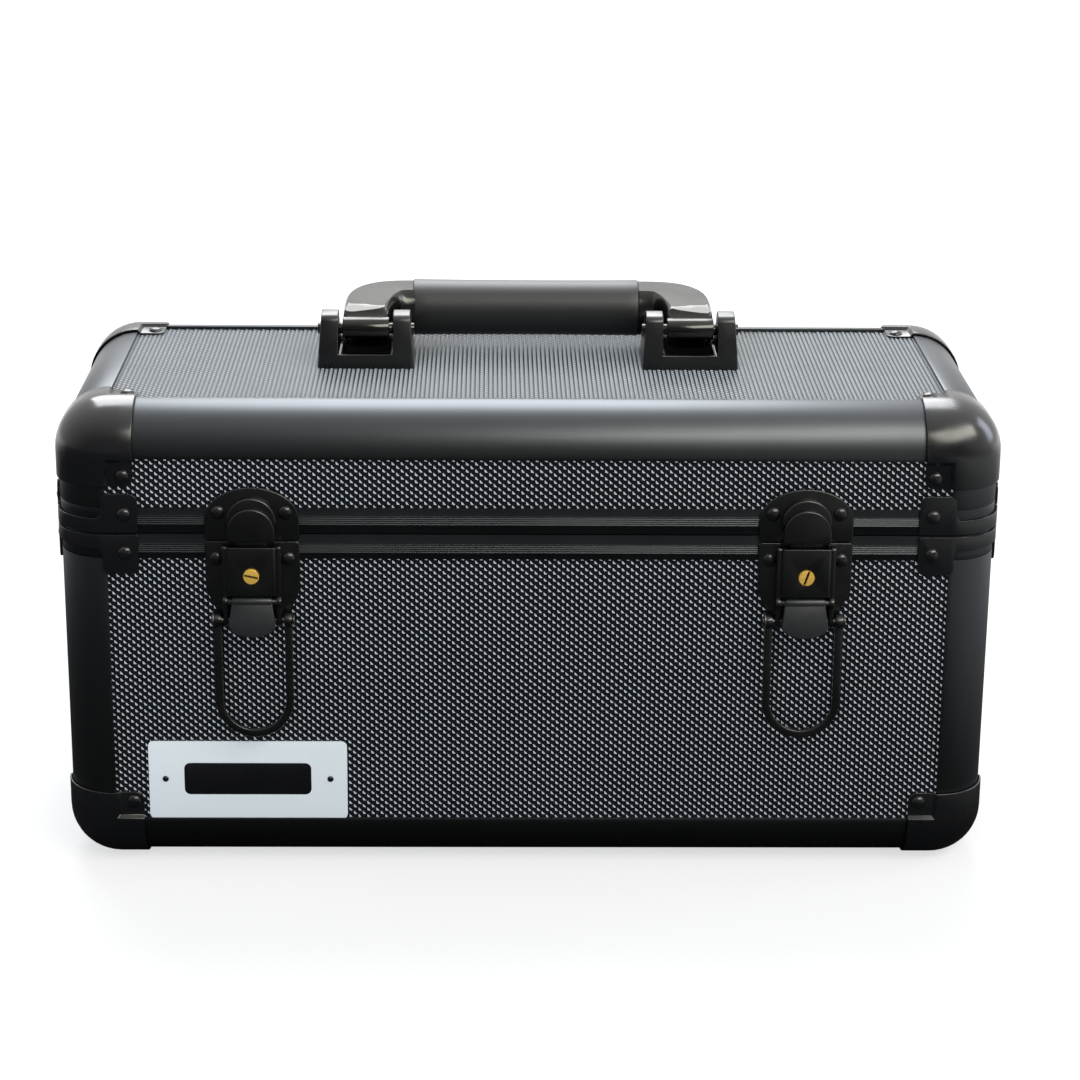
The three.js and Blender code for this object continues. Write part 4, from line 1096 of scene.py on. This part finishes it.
def hanging_ring():
    bend_z = PIN.z - RING_DROP + RING_HALF
    start = (PIN.x - RING_HALF + RING_STRIP / 2, PIN.y, PIN.z)
    piece = start_sheet("left_hanging_ring", start, (RING_STRIP, RING_THICK))
    pick_all(piece)
    extrude_picked(z=bend_z - PIN.z)
    bpy.ops.mesh.spin(steps=24, angle=math.pi, center=(PIN.x * MM, PIN.y * MM, bend_z * MM), axis=AXES["Y"])
    extrude_picked(z=PIN.z - bend_z)
    face_outwards(piece)
    soften(piece, 0.5, 3, 60)
    eyes = [start_rod("eye", "X", EYE_RADIUS, (PIN.x + a, PIN.x + a + RING_STRIP), PIN, 28)
            for a in (-RING_HALF, RING_HALF - RING_STRIP)]
    return join(piece, [soften(eye, 0.4) for eye in eyes])


on_both_sides(hanging_ring(), "hanging_ring", "{}_ring", "latch_ring")

# %% [markdown]
# ## Handle
# Two lacquered brackets stand on the lid. The foot of each ends just in front of the barrel, where the
# photograph shows it, so it is shorter than its solid. Between the ears turns the barrel of a cast arm,
# and the arms sweep round to the ends of the grip. A casting like this is easiest as a loft by hand: take
# the section at the barrel, extrude it again and again, and put each new ring where the section belongs.

# %% Handle brackets
bracket_low, bracket_high = node_box("handle_left_bracket")
BRACKET_X = (bracket_low.x + bracket_high.x) / 2
PIVOT_Y = (bracket_low.y + bracket_high.y) / 2
PIVOT_Z = 199.0
EAR, EAR_LEAN, EAR_TOP, EAR_SLANT = 8.3, 1.6, 205, 0.13
FOOT_FRONT, DECK, BRACKET_WALL = -5, bracket_low.z + 5.8, 1.4
WELL_DROP, BACK_WALL_RISE = 4.8, 2.6
EAR_FRONT, EAR_BACK = -1.6, 7.2


def bracket():
    """A foot with a well, and two ears that narrow upwards from the full depth of the foot."""
    piece = start_block("left_handle_bracket", (bracket_low.x, bracket_high.x), (FOOT_FRONT, bracket_high.y),
                        (bracket_low.z, DECK))
    cuts = (bracket_low.x + EAR, bracket_high.x - EAR)
    for cut in cuts:
        cut_across(piece, "X", cut)
    pick(piece, "FACE", lambda m, s, p: p.normal.z > FACING and cuts[0] < m.x < cuts[1])
    bpy.ops.mesh.inset(thickness=BRACKET_WALL * MM)
    extrude_picked(z=-WELL_DROP)
    pick(piece, "FACE", lambda m, s, p: near(m.z, DECK) and s.z < NEAR and cuts[0] < m.x < cuts[1]
         and m.y > bracket_high.y - BRACKET_WALL)
    extrude_picked(z=BACK_WALL_RISE)
    narrow = (EAR_BACK - EAR_FRONT) / (bracket_high.y - FOOT_FRONT)
    still = (EAR_FRONT - FOOT_FRONT * narrow) / (1 - narrow)
    for side in (-1, 1):
        pick(piece, "FACE", lambda m, s, p: p.normal.z > FACING and near(m.z, DECK) and s.y > 20
             and (m.x - BRACKET_X) * side > 13)
        extrude_picked(z=EAR_TOP - DECK)
        bpy.ops.transform.resize(value=(1, narrow, 1), center_override=(0, still * MM, 0))
    round_corners(piece, 0, 2.2, lambda m: near(m.z, EAR_TOP), 8)
    round_corners(piece, 2, 1.6, lambda m: m.z < DECK and abs(m.x - BRACKET_X) > 18)
    for vertex in piece.data.vertices:
        side = vertex.co.x / MM - BRACKET_X
        if abs(side) > 14:
            lean = (vertex.co.z / MM - bracket_low.z) / (EAR_TOP - bracket_low.z) * EAR_LEAN
            vertex.co.x -= math.copysign(lean, side) * MM
        if vertex.co.z > (EAR_TOP - 2.5) * MM:
            vertex.co.z += EAR_SLANT * (vertex.co.y - EAR_FRONT * MM)
    return soften(piece, 0.4, 3, 45)


brackets = spread(bracket(), {"left_handle_bracket": AS_IS, "right_handle_bracket": ACROSS_X})
for name, piece in brackets.items():
    dress(piece, "lid", LATCH_FINISH, [f"handle_{name.replace('_handle', '')}"])

# %% The cast arm, section by section
grip_low, grip_high = node_box("handle_grip")
GRIP_HALF = (grip_high.x - grip_low.x) / 2
GRIP_RADIUS = (grip_high.z - grip_low.z) / 2 + 0.3
GRIP_Y, GRIP_Z = (grip_low.y + grip_high.y) / 2, PIVOT_Z + 0.9
BARREL_HALF, BARREL_RADIUS = 9.2, 4.6
ARM_STEPS, ARM_SIDES = 24, 40
ARM_SWEEP = 0.65
ARM_HEIGHT_SHARES = ((0, BARREL_RADIUS), (0.02, 8.8), (0.2, 10.6), (1, GRIP_RADIUS))
ARM_BUNCHING = 1.6               # sections lie closer together near the barrel
ARM_SQUARENESS = (4.2, 2.2)      # the section's power at the barrel, and how much rounder the grip end is


def arm_frame(share):
    """Centre, direction across and half sizes of the arm's section, from barrel (0) to grip (1)."""
    turn = math.pi / 2 * share
    c, s = max(0, math.cos(turn)), math.sin(turn)
    sweep = abs(BRACKET_X) - GRIP_HALF
    reach = GRIP_Y - PIVOT_Y
    lift = (GRIP_Z - PIVOT_Z) * s
    centre = Vector((-(GRIP_HALF + sweep * c ** ARM_SWEEP), PIVOT_Y + reach * s ** ARM_SWEEP,
                     PIVOT_Z + lift))
    ahead = Vector((sweep * s ** (2 - ARM_SWEEP), reach * c ** (2 - ARM_SWEEP), 0)).normalized()
    across = Vector((ahead.y, -ahead.x, 0))
    half_across = BARREL_HALF + (GRIP_RADIUS - BARREL_HALF) * s
    for (before, low), (after, high) in zip(ARM_HEIGHT_SHARES, ARM_HEIGHT_SHARES[1:]):
        if before <= share <= after:
            half_high = low + (high - low) * (share - before) / (after - before)
    return centre, across, half_across, half_high, ARM_SQUARENESS[0] - ARM_SQUARENESS[1] * s ** 3


def place_ring(piece, spots, share):
    """Moves the selected ring onto a section; spots pairs each vertex's place with its angle on the ring."""
    centre, across, half_across, half_high, power = arm_frame(share)
    mesh = bmesh.from_edit_mesh(piece.data)
    moved = []
    for vertex in [v for v in mesh.verts if v.select]:
        angle = min(spots, key=lambda spot: (spot[0] - vertex.co).length)[1]
        c, s = math.cos(angle), math.sin(angle)
        side = math.copysign(abs(c) ** (2 / power), c) * half_across
        rise = math.copysign(abs(s) ** (2 / power), s) * half_high
        vertex.co = (centre + across * side + Vector((0, 0, rise))) * MM
        moved.append((vertex.co.copy(), angle))
    bmesh.update_edit_mesh(piece.data)
    return moved


def cast_arm():
    clear_selection()
    bpy.ops.mesh.primitive_circle_add(vertices=ARM_SIDES, radius=1, fill_type="NGON")
    piece = settle("handle_arm")
    spots = [(v.co.copy(), math.atan2(v.co.y, v.co.x)) for v in piece.data.vertices]
    pick_all(piece)
    spots = place_ring(piece, spots, 0)
    for step in range(1, ARM_STEPS + 1):
        bpy.ops.mesh.extrude_region_move()
        spots = place_ring(piece, spots, (step / ARM_STEPS) ** ARM_BUNCHING)
    face_outwards(piece)
    return piece


arm = cast_arm()
print("cast arm faces:", len(arm.data.polygons))

# %% [markdown]
# The casting has two flats where the polisher took the wheel straight across it: a broad one on top, which
# rises a little toward the grip, and a steeper one above the barrel. Bisect draws the edge of a flat on the
# mesh, and whatever stands above its plane is pressed onto it.

# %% Flats of the arm, then its mirror image
# each a point of the plane in mm, and its rise along x and y
ARM_FLATS = (((-72, 7, 207.1), (0, 0.073)), ((-72, 0.6, 203.2), (0.08, 0.45)))
PIN_RADIUS_IN_EARS, CORE_RADIUS = 2.2, 5


def press_flat(piece, point, slope):
    """Presses what stands above a plane onto it; slope is the plane's rise along x and y."""
    pick_all(piece)
    bpy.ops.mesh.bisect(plane_co=Vector(point) * MM,
                        plane_no=Vector((-slope[0], -slope[1], 1)).normalized())
    clear_selection()
    for vertex in piece.data.vertices:
        x, y = vertex.co.x / MM, vertex.co.y / MM
        height = point[2] + (x - point[0]) * slope[0] + (y - point[1]) * slope[1]
        vertex.co.z = min(vertex.co.z, height * MM)


for point, slope in ARM_FLATS:
    press_flat(arm, point, slope)
pivot_line, grip_line = (0, PIVOT_Y, PIVOT_Z), (0, GRIP_Y, GRIP_Z)
barrel = start_rod("barrel", "X", BARREL_RADIUS, (BRACKET_X - BARREL_HALF, BRACKET_X + BARREL_HALF),
                   pivot_line, 40)
hinge_pin = start_rod("pin", "X", PIN_RADIUS_IN_EARS, (bracket_low.x, bracket_high.x), pivot_line)
join(arm, [soften(barrel, 0.5), soften(hinge_pin, 0.3)])
core = start_rod("core", "X", CORE_RADIUS, (-GRIP_HALF - 1, GRIP_HALF + 1), grip_line)
join(arm, [copy_piece(arm, "other_arm", ACROSS_X), core])
arm.name = arm.data.name = "handle_arms"
dress(arm, "handle", ARM_FINISH, ["handle_frame"], 25)

# %% [markdown]
# The grip is a moulded sleeve, a touch slimmer in its middle. It starts as a bar, is cut into rings by
# bisect, and the rings are scaled about the bar's own line.

# %% Grip sleeve
GRIP_WAIST, GRIP_CUTS, GRIP_OVER_ARM = 0.25, 8, 1.2


def grip_sleeve():
    piece = start_rod("handle_grip_sleeve", "X", GRIP_RADIUS, (grip_low.x - GRIP_OVER_ARM, grip_high.x),
                      grip_line, 64)
    middle = (grip_low.x + grip_high.x) / 2
    for cut in range(-GRIP_CUTS, GRIP_CUTS + 1):
        cut_across(piece, "X", middle + cut * GRIP_HALF / (GRIP_CUTS + 1))
    clear_selection()
    axis = Vector(grip_line) * MM
    for vertex in piece.data.vertices:
        along = (vertex.co.x / MM - middle) / GRIP_HALF
        slim = 1 - GRIP_WAIST / GRIP_RADIUS * (1 - along ** 2)
        vertex.co.y = axis.y + (vertex.co.y - axis.y) * slim
        vertex.co.z = axis.z + (vertex.co.z - axis.z) * slim
    return soften(piece, 0.9, 3)


dress(grip_sleeve(), "handle", GRIP_FINISH, ["handle_grip"])

# %% [markdown]
# ## Back hinge
# A long hinge runs along the back. Its two leaves carry seven knuckles in turn, four on the base and three
# on the lid, and each leaf is riveted to its rim.

# %% Hinge leaves
hinge_low, hinge_high = node_box("hinge_lid_leaf")
KNUCKLES, KNUCKLE_RADIUS, KNUCKLE_GAP, LEAF_SHEET, LEAF_HIGH = 7, 2.4, 0.4, 1.0, 9
LEAF_IN = BACK + 0.3
HINGE_Y, LEAF_OUT = LEAF_IN + KNUCKLE_RADIUS, LEAF_IN + LEAF_SHEET
KNUCKLE_PITCH = (hinge_high.x - hinge_low.x) / KNUCKLES
LEAF_RIVETS, LEAF_RIVET_Z = 8, 6.2
ROOT_OVERLAP = 0.3


def hinge_leaf(name, side, knuckles):
    """side is 1 for the lid's leaf, above the pin, and -1 for the base's."""
    near_z, far_z = SPLIT + side * (KNUCKLE_RADIUS + KNUCKLE_GAP), SPLIT + side * LEAF_HIGH
    piece = start_block(name, (hinge_low.x, hinge_high.x), (LEAF_IN, LEAF_OUT), (near_z, far_z))
    round_corners(piece, 1, 1.5, lambda m: near(m.z, far_z))
    soften(piece, 0.2)
    parts = []
    for index in knuckles:
        start = hinge_low.x + index * KNUCKLE_PITCH + KNUCKLE_GAP / 2
        span = (start, start + KNUCKLE_PITCH - KNUCKLE_GAP)
        knuckle = start_rod("knuckle", "X", KNUCKLE_RADIUS, span, (0, HINGE_Y, SPLIT))
        root = start_block("root", span, (LEAF_IN, LEAF_OUT), (SPLIT, near_z + side * ROOT_OVERLAP))
        parts += [soften(knuckle, 0.2), soften(root, 0.2)]
    pitch = (hinge_high.x - hinge_low.x) / LEAF_RIVETS
    heads = rivets_at(small_rivet, [
        ((hinge_low.x + (i + 0.5) * pitch, LEAF_OUT, SPLIT + side * LEAF_RIVET_Z), WAYS["back"])
        for i in range(LEAF_RIVETS)])
    return join(piece, parts + heads)


for body, side in (("lid", 1), ("base", -1)):
    knuckles = range(1 if body == "lid" else 0, KNUCKLES, 2)
    dress(hinge_leaf(f"{body}_hinge_leaf", side, knuckles), body, EDGE_FINISH["X"],
          [f"hinge_{body}_leaf"])

# %% [markdown]
# ## Foam inside
# The base holds one block of dense foam with four long wells, one for each column of card slabs. The lid
# holds a pad that keeps them from rattling. Both are cut from closed-cell sheet, so they are firm pads
# with slightly soft edges: blocks whose edges are bevelled to follow the shell. The wells are cut as
# faces on top of the block, and pushed down.

# %% Foam block with wells
FOAM_ROUNDING = 12.8
WELL_MIDDLES = (-127.01, -42.34, 42.34, 127.01)
WELL_HALF, WELL_DEPTH_HALF, WELL_FLOOR = 41.14, 63.15, 13.5


def foam_block(name, node, open_side):
    """open_side is 1 when the flat face is on top, and -1 when it is below."""
    low, high = node_box(node)
    piece = start_block(name, *zip(low, high))
    flat_z = high.z if open_side > 0 else low.z
    pick(piece, "EDGE", lambda m, s, p: not (near(m.z, flat_z) and s.z < NEAR))
    bevel_picked(FOAM_ROUNDING, 8)
    clear_selection()
    return piece, flat_z


insert, insert_top = foam_block("card_foam", "card_insert", 1)
well_edges = [("X", middle + half) for middle in WELL_MIDDLES for half in (-WELL_HALF, WELL_HALF)]
well_edges += [("Y", MIDDLE.y + half) for half in (-WELL_DEPTH_HALF, WELL_DEPTH_HALF)]
for axis, edge in well_edges:
    pick(insert, "FACE", lambda m, s, p: p.normal.z > FLAT and near(m.z, insert_top))
    bpy.ops.mesh.bisect(plane_co=[v * edge * MM for v in AXES[axis]], plane_no=AXES[axis])
wells = pick(insert, "FACE", lambda m, s, p: p.normal.z > FLAT and near(s.y, 2 * WELL_DEPTH_HALF)
             and any(abs(m.x - w) < WELL_HALF for w in WELL_MIDDLES) and s.x > WELL_HALF)
extrude_picked(z=WELL_FLOOR - insert_top)
print("wells cut:", wells)
soften(insert, 0.8, 2, 60)
dress(insert, "base", FOAM_FINISH, ["card_insert"])

# %% Lid pad
pad, _ = foam_block("lid_pad", "lid_foam_pad", -1)
soften(pad, 2.5, 4, 60)
dress(pad, "lid", FOAM_FINISH, ["lid_foam_pad"])

# %% [markdown]
# ## Name plate
# On the front a thin pale plate waits for its owner's name, held by two small nails. Its window shows a
# black card, which is left blank.

# %% Name plate and its nails
PLATE_THICK, PLATE_ROUNDING, FIELD_ROUNDING = 0.8, 2.2, 2.4
PLATE_BACK = node_box("base_front_panel")[0].y - 0.42
PLATE_FACE = PLATE_BACK - PLATE_THICK
FIELD_FACE, FIELD_BACK = PLATE_FACE - 0.12, PLATE_FACE + 0.3
NAIL_RADIUS, NAIL_HEIGHT, NAIL_Z, NAIL_XS = 1.25, 0.7, 36.7, (-140.9, -76.8)
name_plate = start_block("name_plate", (-147.4, -70.2), (PLATE_FACE, PLATE_BACK), (19.8, 52.4))
round_corners(name_plate, 1, PLATE_ROUNDING, lambda m: True, 6)
soften(name_plate, 0.22, 3)
dress(name_plate, "base", PLATE_FINISH)
field = start_block("name_plate_field", (-133.6, -84.2), (FIELD_FACE, FIELD_BACK), (30.2, 43.4))
round_corners(field, 1, FIELD_ROUNDING, lambda m: True, 6)
soften(field, 0.1)
dress(field, "base", CORNER_FINISH)
nail_head = rivet_head(NAIL_RADIUS, NAIL_HEIGHT)
nails = rivets_at(nail_head, [((x, PLATE_FACE, NAIL_Z), WAYS["front"]) for x in NAIL_XS])
nails[0].name = nails[0].data.name = "name_plate_nails"
dress(join(nails[0], nails[1:]), "base", CORNER_FINISH)
for head in (big_rivet, small_rivet, nail_head):
    bpy.data.objects.remove(head)

# %% [markdown]
# ## Studio
# The case stands on a plain pale floor. A wide window lamp hangs high in front on the right, a smaller one
# lights the right side, and a large one high behind draws the bright line along the front edge of the lid.
# A fill lamp in front lights the colours and is kept out of the mirrors.
#
# The background is white by Light Path. Camera rays see a white room. Mirror rays see a room that is white
# behind the case and darkens toward the camera, as a studio does, and a floor that is dark in front and
# bright behind: that is what keeps the glossy parts black. All other rays see a grey room, so the white
# doesn't flood the case. The world isn't sampled as a lamp, because that sampling ignores Light Path.

# %% Floor
FLOOR_SIZE = 12000
FLOOR_LIFT_NEAR, FLOOR_LIFT_FAR = 0.62, 0.9
WHITE = (1, 1, 1, 1)


def ray_kinds(tree):
    """Camera rays, and the rays by which metal and glass show the room."""
    rays = add_node(tree, "ShaderNodeLightPath").outputs
    mirror_rays = add_node(tree, "ShaderNodeMath", {"operation": "MAXIMUM"}, {
        0: rays["Is Glossy Ray"], 1: rays["Is Transmission Ray"]}).outputs[0]
    return rays["Is Camera Ray"], mirror_rays


floor = start_sheet("floor", (0, 0, 0), (FLOOR_SIZE, FLOOR_SIZE))
floor_finish, tree, shader, place = start_finish("pale_floor", {
    "Roughness": 0.9, "Specular IOR Level": 0.1, "Emission Color": WHITE})
camera_rays, mirror_rays = ray_kinds(tree)
across = add_node(tree, "ShaderNodeSeparateXYZ", inputs={0: place}).outputs
ahead_share = add_node(tree, "ShaderNodeMapRange", {"interpolation_type": "SMOOTHSTEP"}, {
    "Value": across["Y"], "From Min": 0.9, "From Max": 0.15}).outputs[0]
left_share = add_node(tree, "ShaderNodeMapRange", inputs={
    "Value": across["X"], "From Min": 0.8, "From Max": 0.2, "To Min": 0.3, "To Max": 0.96}).outputs[0]
card = add_node(tree, "ShaderNodeMath", {"operation": "MULTIPLY"}, {
    0: ahead_share, 1: left_share}).outputs[0]
mirrored_card = add_node(tree, "ShaderNodeMath", {"operation": "MULTIPLY"}, {
    0: card, 1: mirror_rays}).outputs[0]
tone = add_node(tree, "ShaderNodeMix", {"data_type": "RGBA"}, {
    MIX_FACTOR: mirrored_card, MIX_A: colour("#a6a6a6"), MIX_B: colour("#000000")}).outputs[MIX_RESULT]
behind = add_node(tree, "ShaderNodeMath", {"operation": "SUBTRACT"}, {
    0: 1.0, 1: ahead_share}).outputs[0]
mirrored_behind = add_node(tree, "ShaderNodeMath", {"operation": "MULTIPLY"}, {
    0: behind, 1: mirror_rays}).outputs[0]
lit_rays = add_node(tree, "ShaderNodeMath", {"operation": "MAXIMUM"}, {
    0: camera_rays, 1: mirrored_behind}).outputs[0]
away = add_node(tree, "ShaderNodeVectorMath", {"operation": "LENGTH"}, {0: place}).outputs["Value"]
lift = add_node(tree, "ShaderNodeMapRange", inputs={
    "Value": away, "From Min": 0.4, "From Max": 2.5,
    "To Min": FLOOR_LIFT_NEAR, "To Max": FLOOR_LIFT_FAR}).outputs[0]
glow = add_node(tree, "ShaderNodeMath", {"operation": "MULTIPLY"}, {0: lit_rays, 1: lift}).outputs[0]
fill_inputs(shader, {"Base Color": tone, "Emission Strength": glow})
floor.data.materials.append(floor_finish)

# %% Room
world = bpy.data.worlds.new("studio_room")
bpy.context.scene.world = world
world.use_nodes = True
tree = world.node_tree
tree.nodes.clear()
camera_rays, mirror_rays = ray_kinds(tree)
direction = add_node(tree, "ShaderNodeTexCoord").outputs["Generated"]
BRIGHT_SIDE = (0.15, 0.9, 0.45)
toward = add_node(tree, "ShaderNodeVectorMath", {"operation": "DOT_PRODUCT"}, {
    0: direction, 1: BRIGHT_SIDE}).outputs["Value"]
shade = add_node(tree, "ShaderNodeMapRange", inputs={
    "Value": toward, "From Min": -0.6, "From Max": 1.0, "To Min": 0.1, "To Max": 1.0}).outputs[0]
room, mirrored, seen = (
    add_node(tree, "ShaderNodeBackground", inputs={"Color": tint, "Strength": strength}).outputs[0]
    for tint, strength in (((0.95, 0.975, 1, 1), 0.5), (WHITE, shade), (WHITE, 1.0)))
inner = add_node(tree, "ShaderNodeMixShader", inputs={0: mirror_rays, 1: room, 2: mirrored}).outputs[0]
outer = add_node(tree, "ShaderNodeMixShader", inputs={0: camera_rays, 1: inner, 2: seen}).outputs[0]
add_node(tree, "ShaderNodeOutputWorld", inputs={0: outer})
world.cycles.sampling_method = "NONE"


# %% Lamps
CASE_MIDDLE = Vector((0, 0, 0.1))


def soft_lamp(name, place, size, radiance, tint):
    """A square area lamp that looks at the case; an area lamp's power is four times radiance times area."""
    data = bpy.data.lights.new(name, "AREA")
    data.shape = "RECTANGLE"
    data.size, data.size_y = size
    data.energy = 4 * radiance * data.size * data.size_y
    data.color = colour(tint)[:3]
    lamp = bpy.data.objects.new(name, data)
    bpy.context.scene.collection.objects.link(lamp)
    lamp.location = place
    lamp.rotation_euler = (CASE_MIDDLE - Vector(place)).to_track_quat("-Z", "Y").to_euler()
    lamp.visible_camera = False
    return lamp


soft_lamp("lamp_window", (0.8, -1.0, 1.32), (1.7, 0.62), 3.4, "#fffdf0")
soft_lamp("lamp_right", (1.5, 0.35, 0.75), (0.5, 0.9), 2.5, "#e6eeff")
soft_lamp("lamp_behind", (-0.15, 1.43, 1.8), (1.6, 1.62), 4.6, "#fbfdff")
fill = soft_lamp("lamp_fill", (-0.5, -2.2, 0.75), (1.6, 1.0), 4.5, "#eef4ff")
fill.visible_glossy = False

# %% [markdown]
# ## Camera
# The camera stands where the photographer's did: about a metre in front of the case, 0.48 m up, looking
# down by 18 degrees through a long lens. Its three directions are worked out from those angles.

# %% Camera
CAMERA_PLACE = Vector((-15.75, -1104.4, 476.2)) * MM
YAW, PITCH, ROLL = (math.radians(a) for a in (1.098, 18.265, 0.526))
ahead = Vector((math.sin(YAW) * math.cos(PITCH), math.cos(YAW) * math.cos(PITCH), -math.sin(PITCH)))
level = Vector((math.cos(YAW), -math.sin(YAW), 0))
upward = level.cross(ahead)
right = level * math.cos(ROLL) + upward * math.sin(ROLL)
up = upward * math.cos(ROLL) - level * math.sin(ROLL)
camera_data = bpy.data.cameras.new("camera")
camera_data.lens = 95.54
camera_data.sensor_width = 36
camera = bpy.data.objects.new("camera", camera_data)
bpy.context.scene.collection.objects.link(camera)
camera.matrix_world = Matrix.Translation(CAMERA_PLACE) @ Matrix((right, up, -ahead)).transposed().to_4x4()
bpy.context.scene.camera = camera
bpy.context.scene.view_settings.view_transform = "Standard"

# %% Nothing left selected at the end
clear_selection()
